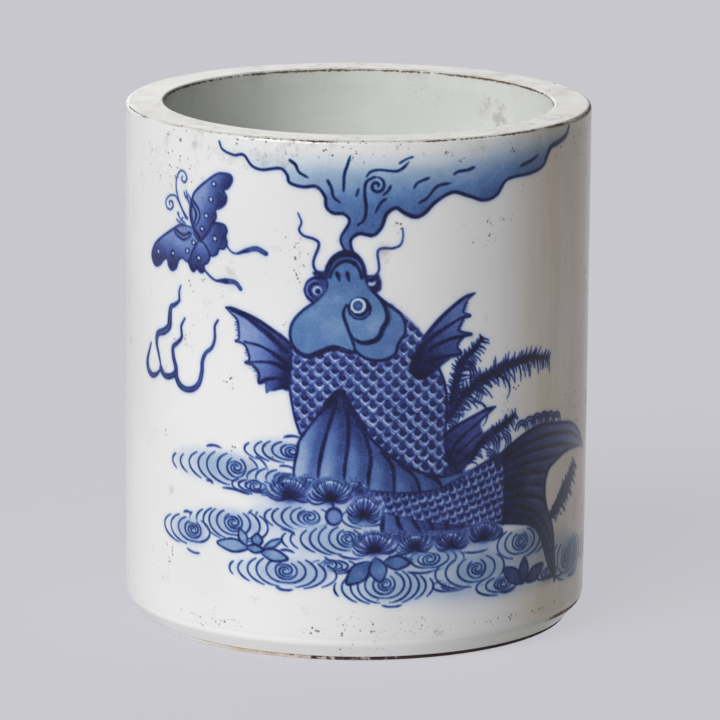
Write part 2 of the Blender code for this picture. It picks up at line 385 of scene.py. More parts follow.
def paint_butterfly(art):
    """A butterfly at the left, with its wings spread, two long tails and two curled feelers."""
    rear = [
        (-44.3, 110.3), (-41.3, 115.2), (-37.3, 115.7), (-36.1, 114.3), (-36.5, 112.6), (-36, 110.9),
        (-36.9, 109.4), (-38.5, 109.1), (-39.3, 107.6), (-41.1, 106.9), (-42.2, 107.9),
    ]
    rear_low = [
        (-48, 109.4), (-44.3, 110.2), (-42.2, 108.3), (-41.6, 106.5), (-42.4, 104.9), (-43.6, 104.2),
        (-43.6, 102.6), (-44.8, 102.1), (-46.1, 102.9), (-47.7, 102), (-49.4, 105),
    ]
    fore = [
        (-47.4, 113.4), (-48.5, 117.3), (-48, 120.9), (-46.3, 123.8), (-40, 128.5), (-37, 129.3),
        (-34.9, 129), (-34.5, 127.6), (-35.6, 125.7), (-37.1, 124.7), (-36.2, 123.2), (-36.6, 121.4),
        (-38.2, 120), (-39.8, 119.2), (-39.7, 117), (-42.8, 112.4), (-45, 110.6), (-47, 111.6),
    ]
    fore_low = [
        (-47, 113.2), (-52, 113.6), (-55.6, 112), (-62.9, 107.6), (-65.2, 105.2), (-65.9, 103.2),
        (-64.9, 101.4), (-63.2, 100.9), (-61.2, 101.8), (-59.6, 103.3), (-58.1, 103.6), (-57.5, 101.9),
        (-56.1, 100.9), (-54.2, 101.8), (-53.1, 104.1), (-51.6, 104.9), (-49.4, 104.3), (-47.6, 107.5),
        (-45.6, 110.6),
    ]
    for wing, shade in (
        (rear, ramp((-43.5, 111.5), (-36.6, 111), (0.45, 0.6, 0.72, 0.8))),
        (rear_low, ramp((-44.5, 109.5), (-46, 102.6), (0.45, 0.6, 0.74, 0.84))),
        (fore_low, ramp((-56.5, 111.4), (-58.4, 102), (0.4, 0.42, 0.56, 0.74, 0.86))),
        (fore, ramp((-46.4, 122.5), (-37.5, 119), (0.34, 0.38, 0.56, 0.76, 0.86))),
    ):
        art.wash(wing, shade)
        art.line(wing, 0.6, 0.88, closed=True)
    for foot, tip, bow in (
        ((-48.2, 120.7), (-47, 114), (1.9, 0.2)),
        ((-54.9, 111.9), (-48.2, 112), (0.2, -1.5)),
    ):
        middle = np.array(foot) * 0.5 + np.array(tip) * 0.5
        art.line([foot, middle + bow, tip], 1.7, 0.82)
        art.line([foot, middle + bow, tip], 0.4, 0.16)
        art.line([foot, middle + np.array(bow) * 0.5, tip], 0.5, 0.85)
    for centre in (
        (-40.3, 126.1), (-41.3, 121.9), (-42.9, 117.4), (-44.3, 113.7), (-39.9, 111.7),
        (-47.3, 109.6), (-49.7, 107.1), (-45.5, 105.8), (-55.6, 105.5), (-62.4, 104.9),
    ):
        art.dot(centre, 0.85, 0.95)
        art.dot(centre, 0.48, 0.06)
    art.line([(-48.3, 120.2), (-48.4, 116.8), (-47, 113.2), (-44.6, 110.7)], 1.15, 0.86)
    art.line([(-48, 118.6), (-47.9, 115.8), (-46.6, 113)], 0.35, 0.66)
    tails = [
        [(-36.3, 110.6), (-34.8, 108.9), (-32.8, 108.5), (-29.6, 109.7), (-27.1, 110.3), (-24.4, 109.3)],
        [(-43.8, 103.4), (-42.2, 101.9), (-39.4, 100.5), (-35.8, 100.8), (-33.3, 100.7), (-31.7, 99.2)],
    ]
    for tail in tails:
        art.line(tail[:4], 0.55, 0.84)
        art.line(tail[2:], 1.45, 0.84, ends=(0.3, 0.8), lift=0.35)
        art.line(tail[3:], 0.5, 0.6, ends=(0.5, 0.5))
    high = [
        (-49.6, 115.7), (-51.8, 117.9), (-53.5, 120.8), (-54.3, 123.8), (-53.8, 126.4), (-52.3, 128.1),
        (-50.7, 127.7), (-50, 126.3), (-50.8, 125.2), (-52, 125.7), (-51.7, 126.7),
    ]
    low = [
        (-50.2, 115.6), (-53.8, 120.4), (-55.6, 121.1), (-57.6, 120.4), (-58.8, 118.9), (-58.3, 117.4),
        (-56.7, 117.1), (-55.6, 118.1), (-56, 119.3), (-57.2, 119.1), (-57, 118.3),
    ]
    art.lines([high, low], 0.55, 0.78, ends=(0.9, 0.7))
    legs = [
        [(-48.9, 119.4), (-49.7, 121.2), (-50.2, 123.3)],
        [(-49.6, 120.6), (-50.6, 121.6), (-51, 122.8)],
        [(-50.2, 121.2), (-49.2, 122.3)],
        [(-50.4, 114.2), (-52.4, 115.2), (-53.9, 116.8)],
        [(-50.8, 113.9), (-52.6, 114.1), (-54.2, 115)],
        [(-52.4, 114.6), (-51.4, 115.8)],
        [(-53, 115.6), (-53.4, 117)],
        [(-49.2, 120), (-48.6, 121), (-49.2, 121.8)],
    ]
    art.lines(legs, 0.5, 0.74)


def paint_tendrils(art):
    """Three curling tendrils of mist at the fish's side, joined at the foot by hanging loops."""
    ways = [
        [(-52.3, 97.3), (-52.9, 95.4), (-52.9, 93.3), (-54.6, 91.9), (-56.4, 90.8), (-56.9, 88),
         (-57.2, 85.6), (-59.4, 83.9), (-62.6, 82.6), (-63.2, 80), (-62.2, 77.4), (-61.2, 74.6), (-61, 73)],
        [(-50.6, 88.8), (-52, 86.4), (-51.8, 83.6), (-53.4, 81.9), (-55.4, 80.2), (-55.2, 77.6),
         (-54.2, 75), (-54, 72.6), (-52.6, 70.6), (-50.2, 69.8), (-47.4, 70.3), (-45.2, 72.2),
         (-44.2, 75.4), (-44, 78.2), (-42.9, 80.6), (-40.8, 82.4), (-39.8, 84.9), (-39.8, 88.2),
         (-38.8, 90)],
        [(-66.2, 79.6), (-67.3, 77.2), (-68.4, 74.4), (-67.8, 72), (-65.6, 70.9), (-63.2, 71.6),
         (-61, 73.4)],
        [(-61, 73.6), (-59.8, 72.2), (-58, 71.9), (-55.8, 72.5), (-54.2, 73.6)],
    ]
    for way in ways:
        art.line(way, 1.75, 0.88, ends=(0.3, 0.3), lift=0.42)
    art.lines([way[2:-1] for way in ways], 0.7, 0.66, ends=(0.1, 0.1), lift=0.3)
    art.line(ways[3], 1.6, 0.85, ends=(0.9, 0.9))
    art.line(ways[3], 0.6, 0.66, ends=(0.9, 0.9))


# The water's whirls, from the back one to the front one: the core's place, how many arcs drift from it to the
# left and to the right, how far apart they are, and half the height of its rings.
WHIRLS = (
    ((-16.8, 57.2), 4, 1, 2.6, 2.9),
    ((-32.8, 51.2), 6, 2, 3.3, 4.3),
    ((-18.6, 49.4), 3, 0, 2.6, 3),
    ((-27, 46.8), 2, 2, 2.2, 1.9),
    ((-8, 48.2), 1, 2, 2.2, 2.4),
    ((3.6, 40), 2, 1, 2.2, 2.6),
    ((48.8, 29.6), 2, 4, 2.6, 3.9),
    ((71.4, 21.2), 2, 3, 2.8, 5.4),
    ((90.5, 20.8), 2, 3, 2.4, 3.4),
    ((-12, 39.6), 6, 1, 2.4, 3.2),
    ((-33.6, 36.2), 5, 3, 2.4, 3.9),
    ((-47.2, 32.2), 3, 1, 3, 3.7),
    ((-1.6, 34.4), 6, 0, 2.5, 3.9),
    ((14, 29.4), 1, 1, 2.2, 2.2),
    ((-6.4, 26.8), 1, 2, 2, 1.8),
    ((-18.4, 24.8), 5, 4, 2.7, 3.8),
    ((20, 28.2), 1, 3, 2.4, 2.8),
    ((26.4, 20.6), 1, 1, 2.2, 1.9),
    ((34, 24.2), 3, 2, 3.1, 4.1),
    ((42.6, 19), 2, 1, 2.8, 2.5),
    ((60.6, 18.6), 1, 1, 2.2, 1.8),
    ((8, 21.8), 5, 5, 2.1, 4.3),
)
# Loose ripples between the whirls: the middle, the length and the lean of each.
RIPPLES = (
    ((-40, 56.2), 4.8, 2),
    ((-33, 45.2), 8, -6),
    ((-41.2, 46.5), 2.2, -14),
    ((-16.8, 61.2), 4.6, 2),
    ((-18, 53), 4.2, -8),
    ((-49.3, 36.8), 3, 0),
    ((-47.2, 26), 4.6, -6),
    ((-18, 30.4), 4, -4),
    ((-18.7, 19.5), 4.6, -3),
    ((-0.9, 28.9), 6.4, -6),
    ((-6.3, 28.2), 3.4, -16),
    ((-1.8, 25.6), 3, 0),
    ((-17.6, 35.7), 3.8, -18),
    ((10, 15.7), 5.2, 0),
    ((17.8, 24.5), 7.2, 0),
    ((33.6, 28.7), 7.4, 0),
    ((44.4, 16.5), 5.4, 4),
    ((66.6, 16.6), 5.4, 0),
    ((76.6, 14.9), 6.8, 0),
)


def paint_waves(art):
    """Broken water under the fish. Each whirl lies over the ones behind it, as pools of ripples do."""
    for middle, radii, tone in (((-6, 38), (22, 12), 0.1), ((40, 24), (36, 8), 0.2)):
        art.wash(arc_path(middle, radii)[::9], tone, soft=2.2)
    for core, left, right, pitch, height in WHIRLS:
        art.whirl(core, left, right, pitch, height)
    paths = []
    for middle, length, lean in RIPPLES:
        bow = -3 if middle[1] < 30 else 3
        ripple = arc_path((0, -bow), (0.94 * length, bow), 122, 58)
        paths.append(middle + rotated(ripple, lean))
    art.strokes(paths, 0.64, 0.82, ends=(0.5, 0.4), lift=0.2)


def paint_body(art):
    """The scaled body, from behind the gills down to where the great fin hides it."""
    flank = [
        (-18, 86), (-18, 77), (-16.2, 66.6), (-14, 60.6), (-9, 61), (-3, 62), (4, 56), (14, 50), (24, 49.6),
        (28.5, 50), (25.2, 56), (24.2, 62), (24.4, 68), (24, 74), (22.2, 79), (19, 84), (17.9, 88),
        (14.9, 91.8), (10.6, 95.4), (8, 97), (2, 92), (-8, 86.5),
    ]
    art.wash(flank, ramp((-16, 80), (26, 60), (0.72, 0.75, 0.79, 0.84)))
    within = art.region(flank)
    art.scales(within, (-21.5, 97), 0, (4, 1.88), 26, 12, size=1.06)
    art.line(flank[:4], 0.6, 0.93)
    art.line(flank[9:17], 0.75)
    stalk = [
        (0, 46.4), (6, 47), (13, 46.2), (21, 46.6), (28, 49), (34, 52), (41.3, 54.6), (42, 46), (41.4, 36),
        (34, 35.8), (26, 36.8), (17, 38.4), (10, 40.4), (3, 42.6),
    ]
    art.wash(stalk, ramp((4, 44), (40, 46), (0.78, 0.83, 0.88)))
    within = art.region(stalk)
    art.scales(within, (-1, 35), 62, (2.9, 1.6), 30, 12, size=0.86)
    art.line(stalk[:7], 0.6, 0.9)
    art.line(stalk[8:], 0.6, 0.9)


def paint_great_fin(art):
    """The fin that sweeps round under the body, pale on the left and darker to the right."""
    top = [
        (-14.2, 61.2), (-6.4, 71.6), (-4.2, 73.9), (-2.2, 71.2), (3.2, 62.2), (12, 54.4), (22, 50.4),
        (29, 51),
    ]
    foot = [
        (33, 51.4), (29, 48.8), (22, 46.2), (14, 45.6), (6, 46.2), (0, 47), (-6, 48.6), (-11, 49),
        (-16.4, 49),
    ]
    side = [(-16.2, 53), (-15.4, 57)]
    shape = top + foot + side
    art.wash(shape, ramp((-16, 52), (24, 54), (0.24, 0.34, 0.5, 0.66, 0.82, 0.92, 0.94)), cool=0.5)
    art.wash(shape, ramp((-6, 48), (-2, 74), (0.22, 0.34, 0.56, 0.86, 1)), strength=0.55)
    within = art.region(shape)
    rays = [
        [(-10, 49), (-9.3, 55), (-8, 61), (-6.4, 66.4), (-4.6, 72.6)],
        [(-3, 48), (-2.7, 54), (-2, 60), (-1.9, 66), (-3.4, 72.4)],
        [(3.3, 46.4), (3.5, 51), (4, 56), (2.6, 61.6), (-0.4, 67.4)],
        [(10.2, 46.2), (10.2, 50), (9.6, 54), (6.8, 57.6)],
        [(17.2, 46), (16.6, 49), (14.6, 51.8), (11.6, 54.2)],
        [(23.4, 47), (21.8, 49.4), (18.4, 51)],
    ]
    for ray in rays:
        beside = (np.asarray(ray) - (2.8, 0))[::-1].tolist()
        art.wash(ray + beside, 0.95, soft=1.1, strength=0.5, within=within)
    art.lines(rays, 1, 0.94, ends=(0.7, 1), lift=0.3, within=within)
    crest = [(-9.2, 67.8), (-6.4, 71.6), (-4.2, 73.6), (-2.4, 71.2), (0.2, 66.8), (3.2, 62.2)]
    art.line(crest, 1.9, 0.93, ends=(0.3, 0.3))
    art.line([foot[-1]] + side + top, 0.8, 0.92, ends=(0.6, 0.6))
    hem = smooth_path(foot[1:6])[::5]
    art.strokes([arc_path(place, (0.9, 0.8), 200, -20) for place in hem], 0.6, 0.92, ends=(0.5, 0.5))


def paint_low_fin(art):
    """The fin under the tail's stalk."""
    top = [(6, 42.2), (10, 40.4), (24, 37), (40, 35.4)]
    foot = [(41, 31.4), (26, 31.8), (12, 33.2), (7.4, 33.6), (7.2, 38)]
    art.wash(top + foot, ramp((7, 36), (32, 34), (0.55, 0.66, 0.8, 0.9)))
    rays = [
        [(7.4, 41), (7.2, 37), (7.6, 33.6)],
        [(11, 40), (12, 37), (13.6, 33.4)],
        [(15.6, 38.6), (17.2, 36), (18.6, 33)],
        [(20.4, 37.6), (21.4, 35), (22.6, 32.6)],
        [(24.6, 36.8), (26, 34.6), (27.4, 32.4)],
        [(29.4, 36.2), (30.6, 34), (31.6, 32)],
    ]
    art.lines(rays, 1.1, 0.94, ends=(0.9, 0.5), lift=0.3)


def paint_tail(art):
    """The forked tail: dark and solid at its root, with rays that run out to both tips."""
    upper = [
        (41, 54.2), (47, 57.4), (52, 59.1), (58, 59.8), (70, 58.1), (75, 56.5), (80, 53.5), (86.2, 47.8),
    ]
    bay = [
        (83.4, 48.7), (80, 49.8), (70, 50.5), (61.6, 48.2), (59.2, 45.6), (58.5, 43), (58.7, 39.6),
        (59.8, 36.4), (63, 29.6), (64.7, 15.6),
    ]
    low = [
        (62.6, 18.6), (60.6, 21.6), (59, 25.2), (57.4, 28.8), (55, 31.8), (52, 33.6), (48, 34.6),
        (44.4, 35.2), (41, 35.8), (40.8, 45),
    ]
    shape = upper + bay + low
    art.wash(shape, ramp((41, 45), (76, 52), (0.94, 0.88, 0.78, 0.66, 0.55, 0.42)))
    within = art.region(shape)
    rays = [
        [(41, 52.6), (48, 55.4), (56, 56.6), (64, 56.4), (72, 55), (79, 52.2), (84, 49.4)],
        [(41, 50.6), (48, 53), (56, 53.6), (64, 53.2), (71, 52), (77, 50.6)],
        [(41, 48.8), (50, 50.6), (60, 50.4), (66, 50.4)],
        [(41, 46.8), (49, 47.8), (59, 46.8)],
        [(41, 44.6), (50, 44.8), (58.6, 43.2)],
        [(41, 42.4), (49, 42), (55, 40.6), (59, 38.4)],
        [(41, 40.2), (48, 39.2), (54, 36.8), (59, 32.4), (62, 27)],
        [(41, 38), (47, 37), (53, 34.6), (58, 30), (61.4, 24.4), (63.6, 17.6)],
    ]
    art.lines(rays, 1, 1, ends=(0.9, 0.6), lift=0.3, within=within)
    pale = [np.asarray(ray[1:]) - (0, 1) for ray in rays[1:6]]
    art.lines(pale, 0.8, 0.6, ends=(0.2, 0.3), lift=0.5, within=within * 0.7)
    art.line(upper, 0.9, ends=(0.9, 0.5))
    art.line(bay, 0.9, ends=(0.5, 0.5))
    art.line(low[:-1], 0.8, ends=(0.5, 0.9))


def paint_left_fin(art):
    """The fin behind the left gill. Dark rays spread from its root to the points of its torn edge."""
    lead = [(-17.6, 86), (-26, 91.1), (-33.6, 93.5), (-36.2, 93.7)]
    torn = [
        (-36.2, 93.7), (-34.4, 92.2), (-32.7, 90.8), (-32.2, 88.4), (-32.2, 85.9), (-33.2, 85.1),
        (-31.2, 84.8), (-29.8, 83.6), (-29.1, 81.6), (-29.2, 80.3), (-30.2, 79.7), (-28, 79.2), (-26.6, 78),
        (-26.1, 76.4), (-26.2, 74.6), (-24.4, 75), (-24.2, 73.6), (-24, 72.2),
    ]
    under = [(-22.4, 73), (-20, 73.8), (-17.7, 74.1)]
    fading = ramp((-31, 84), (-17.5, 81.5), (0.34, 0.38, 0.48, 0.66, 0.92))
    art.wash(lead + torn[1:] + under, fading, soft=0.2)
    shade = [
        [(-34.5, 93.2), (-30, 91.9), (-26, 89.6), (-22, 86.8), (-18.4, 83.6)],
        [(-30.5, 85.2), (-26, 84.6), (-22, 82.8), (-18.4, 80.4)],
        [(-29, 79.9), (-25, 80.4), (-21.6, 80.2), (-18.2, 78.6)],
    ]
    art.lines(shade[:1], 2.6, 0.78, ends=(0.2, 1), lift=0.9)
    art.lines(shade, 1.1, 0.92, ends=(0.5, 1), lift=0.8)
    art.line([(-26, 74.9), (-23.4, 76), (-20.4, 76.3), (-18, 75.8)], 0.9, 0.9)
    art.line(lead, 1, ends=(0.9, 0.5))
    art.line(torn, 0.6, 0.9)
    art.line(under, 0.7, 0.9)
    for run in (torn[2:5], torn[7:9], torn[11:15]):
        art.teeth(run, 0.9, -1)


def paint_right_fin(art):
    """The fin behind the right gill, darker than the left one."""
    lead = [(17.6, 87.6), (22.6, 92.9), (28.4, 97.3), (32.2, 98.6)]
    torn = [
        (32.2, 98.6), (30, 96.8), (29, 94.8), (28.9, 93.8), (31, 92.7), (29, 92.1), (28.1, 90.6),
        (27.6, 89.2), (28.8, 88.5), (31.4, 87.7), (29, 87.2), (27.6, 85.9), (27.2, 84.6), (28.5, 82.8),
        (26, 81.9),
    ]
    under = [(23.4, 80.4), (20.8, 78.4), (17, 76.6), (14.6, 78), (14.4, 82)]
    art.wash(lead + torn[1:] + under, ramp((28, 93), (15.5, 79.5), (0.5, 0.58, 0.7, 0.9, 0.98)), soft=0.2)
    shade = [
        [(15.6, 82), (18.6, 86.6), (23, 89.6), (28.4, 92.4), (30.6, 92.7)],
        [(15.4, 80.6), (19.4, 84.4), (24.6, 86.8), (31, 87.8)],
        [(15.4, 79), (20, 81.6), (24, 82.4), (28.2, 82.8)],
    ]
    art.lines(shade, 1.4, 0.95, ends=(1, 0.4), lift=0.8)
    art.line(lead, 1, ends=(0.9, 0.5))
    art.line(torn, 0.6, 0.92)
    for run in (torn[1:4], torn[5:8], torn[10:13]):
        art.teeth(run, 0.8, 1)


def paint_small_fin(art):
    """The small fin at the right, between the body and the weed."""
    lead = [(23.6, 61), (27, 63.4), (35, 66.6), (39.2, 67.4)]
    under = [(36, 65.2), (34.6, 63), (35.4, 60.4), (33, 58), (31.4, 54), (29, 51), (25.4, 52)]
    art.wash(lead + under, ramp((35, 65), (25.5, 54), (0.6, 0.75, 0.92)), soft=0.2)
    rays = [
        [(24.8, 55), (28, 59.6), (32, 62.6), (38.6, 67)],
        [(25.6, 53.4), (29.4, 57.4), (34.6, 61)],
        [(26.4, 52.4), (29.4, 54.4), (32.4, 56.4)],
    ]
    art.lines(rays, 1, 0.95, ends=(1, 0.4), lift=0.7)
    art.line(lead, 0.9, ends=(0.9, 0.5))


# The head from the front, from the left corner of its mouth over the lip and round with the clock.
SKULL = [
    (-8.4, 104.3), (-7.7, 106.9), (-6.4, 109.1), (-4.6, 110.5), (-2.6, 111), (-0.6, 110.4), (0.9, 108.9),
    (1.9, 106.8), (2.3, 104.2), (3.2, 102), (4.8, 99.8), (8, 97), (11.4, 94.4), (12.8, 91.6), (12.6, 89),
    (11, 86.4), (10.3, 84), (8.6, 82.6), (6, 82), (3, 82.4), (1.2, 83.4), (-0.3, 84.6), (-2.6, 84.8),
    (-5, 85.8), (-7.2, 85.9), (-9.6, 84.1), (-12, 83.1), (-14.8, 83.4), (-16.6, 85.2), (-17.5, 87.6),
    (-17.3, 90.4), (-16.1, 92.8), (-13.9, 95.1), (-11.3, 97.1), (-9.1, 99.2), (-7.8, 101.6),
]


def paint_skull(art):
    """The crown and the cheeks, the gill plate, and the dark lines round them."""
    art.wash(SKULL, ramp((-4, 104), (-4, 84), (0.52, 0.48, 0.45, 0.46, 0.48)), cool=1)
    art.wash([(-12, 96), (-4, 99), (0, 92), (-2, 86), (-8, 87)], 0.41, soft=1.8, strength=0.7)
    art.wash([(0, 92), (5, 94), (7, 91), (3, 88.5), (0.6, 89.8)], 0.38, soft=1, strength=0.7)
    plate = [
        (8.6, 97), (11.6, 94.2), (12.8, 91.4), (12.5, 89), (11, 86.2), (10.2, 83.8), (7.6, 82.2), (4, 82.4),
        (0.2, 84.4), (-0.6, 87), (2, 86.6), (5.6, 87.6), (8.2, 90.4), (8.8, 94),
    ]
    art.wash(plate, 0.5, soft=0.4, cool=0.8)
    art.line(SKULL[8:14], 0.75, 0.93, ends=(0.9, 0.9))
    art.line(SKULL[13:22], 0.8, 0.93, ends=(0.9, 0.9), lift=0.05)
    art.line(SKULL[27:] + SKULL[:1], 0.75, 0.92, ends=(0.9, 0.9), lift=0.05)
    jaw = [(-17, 85.4), (-15.2, 83.6), (-12.2, 82.9), (-7.2, 85), (-4.8, 85.2), (-2.4, 84.4), (0.2, 84.2)]
    art.line(jaw, 1.35, 0.92, ends=(0.6, 0.6))


def paint_mouth(art):
    """The open lip under the breath, with its two pale folds, and the nostrils."""
    inner = [(1.2, 104), (0.6, 106), (-0.8, 107.6), (-2.6, 108.3), (-4.5, 107.8), (-6.2, 106.1), (-7, 104)]
    lip = SKULL[:9] + inner
    art.wash(lip, 0.88)
    art.line(SKULL[:9], 0.85, ends=(0.9, 0.9))
    art.line(inner, 0.75, ends=(0.9, 0.9))
    fold = [(-7.6, 105.6), (-6.6, 107.8), (-4.9, 109.5), (-2.6, 110.1), (-0.4, 109.4), (1, 107.5), (1.8, 105)]
    art.line(fold, 0.5)
    art.line([(-6.9, 106.2), (-5.2, 108.4), (-2.6, 109.2), (-0.1, 108.4), (1.3, 106)], 0.38, 0.5)
    for at, lean in ((-4.9, -0.25), (-2.35, -0.1)):
        nostril = [(at - 0.6 + lean, 104.8), (at + lean, 105.7), (at + 0.5, 104.6), (at + 0.2 - lean, 102.9)]
        art.wash(nostril, 0.95, soft=0.15)


def paint_gill(art):
    """The line of the gill, and the broad band that runs round under the near eye."""
    gill = [(-2.6, 96.8), (-3.3, 95.4), (-3.2, 93.2), (-0.6, 86), (-0.5, 84.6)]
    art.line(gill, 0.75, ends=(0.9, 0.9))
    band = [
        (5.2, 99.5), (7.1, 97), (8.1, 94.6), (8, 92.4), (6.9, 90.6), (6.3, 88.9), (5, 87.5), (3, 86.8),
        (1, 86.9), (-0.6, 87.8), (-1.5, 89),
    ]
    art.line(band, 1.35, ends=(0.5, 0.4), lift=0.25)
    art.line([(7.9, 96.4), (8.7, 94.2), (8.6, 92.4), (7.6, 90.4), (6.9, 88.7)], 0.35, 0.62)


def paint_near_eye(art):
    """The near eye: a ring of white in a dark disc, round a grey pupil."""
    art.dot((0.75, 95.9), 3.1, 0.95)
    art.strokes([arc_path((0.75, 95.9), (2.45, 2.45), 190, 345)], 0.35, 0.5)
    art.dot((0.35, 96.6), 2.05, 0.02)
    art.dot((0.3, 96.6), 1.25, 0.62)
    art.strokes([arc_path((0.3, 96.6), (1.1, 1.1))], 0.4, 0.9)


def paint_far_eye(art):
    """The eye at the left, which stands out over the cheek."""
    bulge = [
        (-8.6, 103.8), (-10.8, 103.8), (-12.7, 102.7), (-13.6, 100.5), (-13, 98.6), (-11.5, 97.2),
        (-9.2, 98.9), (-7.8, 101.4),
    ]
    art.wash(bulge, 0.7)
    art.line(bulge[:6], 0.75, 0.92, ends=(0.9, 0.9))
    art.strokes([arc_path((-10.9, 100.6), (2.3, 2.3), 75, 250)], 0.45, 0.42)
    art.strokes([arc_path((-10.7, 100.4), (1.7, 1.9), 70, 245)], 0.6, 0.95)
    art.dot((-10.4, 100.4), 1.25, 0.2)
    art.dot((-10.2, 100.2), 0.75, 0.9)


def paint_whiskers(art):
    """Two whiskers that rise from dark roots beside the mouth."""
    art.wash([(-11.4, 105.4), (-7.9, 105.4), (-7.8, 103.4), (-9.8, 104), (-11.4, 104.4)], 0.88)
    stub = [(2.2, 103.6), (4.2, 104.4), (5.6, 105), (6.5, 101.8), (5.6, 100.3), (4.4, 100), (3, 101.4)]
    art.wash(stub, 0.93)
    art.wash([(2.7, 102.7), (3.8, 102.9), (4.9, 103), (4.5, 102), (3.4, 101.9)], 0.15, soft=0.15)
    whisker = [
        (-8.4, 104.9), (-10.2, 105.1), (-11.3, 106.6), (-11.3, 108.6), (-10, 112.6), (-11.4, 114),
        (-14, 114.7), (-15.3, 116.2), (-14.7, 118.2), (-15.6, 120.6),
    ]
    art.line(whisker, 0.8, 0.86, ends=(1, 0.5), lift=0.6)
    whisker = [
        (2.4, 104.4), (4.6, 104.6), (5.7, 106.4), (5.3, 110.8), (6.6, 111.8), (9.2, 111.8), (11.2, 112.6),
        (11.9, 114.6), (11.8, 117),
    ]
    art.line(whisker, 0.72, 0.86, ends=(1, 0.5), lift=0.6)


def paint_weed(art):
    """Weed behind the fish: four fronds, with hooks of spray between them and a curl of it over the tail."""
    for middle, radii in (((28, 68), (3.6, 7)), ((39, 56.4), (4.4, 4))):
        art.wash(arc_path(middle, radii)[::4], 0.22, soft=1, strength=0.7)
    longest = [(24.6, 65), (28.2, 70.2), (33, 74), (38, 76.4), (44, 78.2), (52, 78.9), (59.6, 77.6)]
    art.frond(longest, 4, body=1.5)
    art.frond([(25.4, 69), (27, 75), (28.4, 80.2), (32, 83.4), (34.6, 86.4)], 3.1, body=1.4)
    art.frond([(31, 53.4), (34, 57.6), (38, 60.4), (42.6, 62.4), (46, 64.4)], 2.8, body=1.5)
    art.frond([(61.6, 34), (65.4, 36.6), (70.4, 40.4), (75.6, 45.6)], 3.6, body=2.6, every=0.55)
    hooks = []
    for centre, far in (
        ((25.2, 62.6), 2.2),
        ((25.6, 66.4), 2.4),
        ((26, 70.4), 2.4),
        ((29.8, 76.6), 3.2),
        ((31.6, 72), 3.4),
        ((37, 53), 2.6),
        ((37.6, 57), 3),
        ((42, 57.4), 2.6),
    ):
        for i in range(3):
            hooks.append(arc_path(centre, (far - 0.8 * i, far * 1.2 - 0.8 * i), 100, -50))
    hooks.append(arc_path((32, 65.6), (4.6, 4), 95, -45))
    hooks.append(arc_path((38.6, 71.6), (5.4, 4.2), 80, -35))
    art.strokes(hooks, 0.62, 0.9, ends=(0.9, 0.45), lift=0.4)
    curls = []
    for i in range(6):
        place = (48.6 + 3 * i, 59.4 + 1.3 * np.sin(0.55 * i + 0.3))
        curls += [arc_path(place, (2.4 - 0.9 * ring, 2.5 - 0.9 * ring), 175, -5) for ring in range(2)]
    art.wash(arc_path((56, 60.6), (6, 2.4))[::4], 0.5, soft=0.8, strength=0.7)
    art.strokes(curls, 0.7, 0.92, ends=(0.6, 0.5), lift=0.3)


def leaf(art, foot, tip, width, tone):
    """A pale petal with a dark outline, from its foot to its tip."""
    foot, tip = np.asarray(foot, float), np.asarray(tip, float)
    across = np.array([foot[1] - tip[1], tip[0] - foot[0]]) * width / np.hypot(*(tip - foot))
    shape = [
        foot, foot * 0.72 + tip * 0.28 + 0.42 * across, foot * 0.4 + tip * 0.6 + 0.5 * across, tip,
        foot * 0.4 + tip * 0.6 - 0.5 * across, foot * 0.72 + tip * 0.28 - 0.42 * across,
    ]
    art.wash(shape, ramp(foot, tip, (tone + 0.1, tone - 0.06, tone)), soft=0.15, cool=0.8)
    art.line(shape, 0.55, 0.93, closed=True)


def paint_foam(art):
    """Heads of foam where the fish breaks the water, and the flowers and bud that float on it."""
    for foot, width, height, low in (
        ((-12, 47), 3.4, 3.2, 10),
        ((-0.4, 46.2), 3.4, 3.4, 10),
        ((2.4, 40.4), 4.4, 5, 50),
        ((-17.4, 44.8), 6, 4.9, 28),
        ((-6.4, 44.8), 5.6, 5.1, 28),
        ((10.8, 33), 3.4, 2.9, 20),
        ((21, 32.2), 3.4, 2.9, 20),
        ((31.2, 32.2), 3.4, 2.9, 20),
        ((16, 31), 4.6, 3.8, 26),
        ((26.2, 31), 4.6, 3.8, 26),
        ((36, 32.2), 4.6, 4.2, 28),
        ((5.1, 31), 5.6, 4.5, 28),
    ):
        art.foam(foot, width, height, low)
    art.line([(-17.9, 50.2), (-19.8, 50), (-20.4, 48.8), (-19.6, 47.9), (-18.6, 48.4)], 0.6, 0.85)
    art.dot((-5.5, 40.1), 2.1, 0.44)
    art.strokes([arc_path((-5.5, 40.1), (2.05, 2.2))], 0.75, 0.88)
    art.line([(-5.6, 42.3), (-5.8, 43.4), (-6.2, 44.6)], 0.7, 0.88)
    for foot, tip, width, tone in (
        ((-28.8, 30), (-38.8, 30.1), 3.3, 0.36),
        ((-29.7, 30.6), (-31.7, 34.7), 2.4, 0.4),
        ((-26.6, 30.6), (-26.4, 34), 3, 0.48),
        ((-24.6, 30.2), (-19.4, 33.2), 1.7, 0.4),
        ((-25.6, 29.4), (-17.8, 28), 3, 0.4),
        ((-29.6, 30), (-24.6, 29.8), 2.1, 0.45),
        ((4.2, 27.9), (-2, 22), 4.4, 0.6),
        ((5.4, 29), (7, 22.6), 4.4, 0.54),
        ((7.8, 27.9), (14.6, 27.4), 3.5, 0.58),
        ((42.6, 23), (50.2, 18), 3.6, 0.76),
        ((51.2, 18), (58.4, 21.6), 3.6, 0.78),
        ((50.3, 24.9), (50.3, 18), 3.3, 0.76),
    ):
        leaf(art, foot, tip, width, tone)


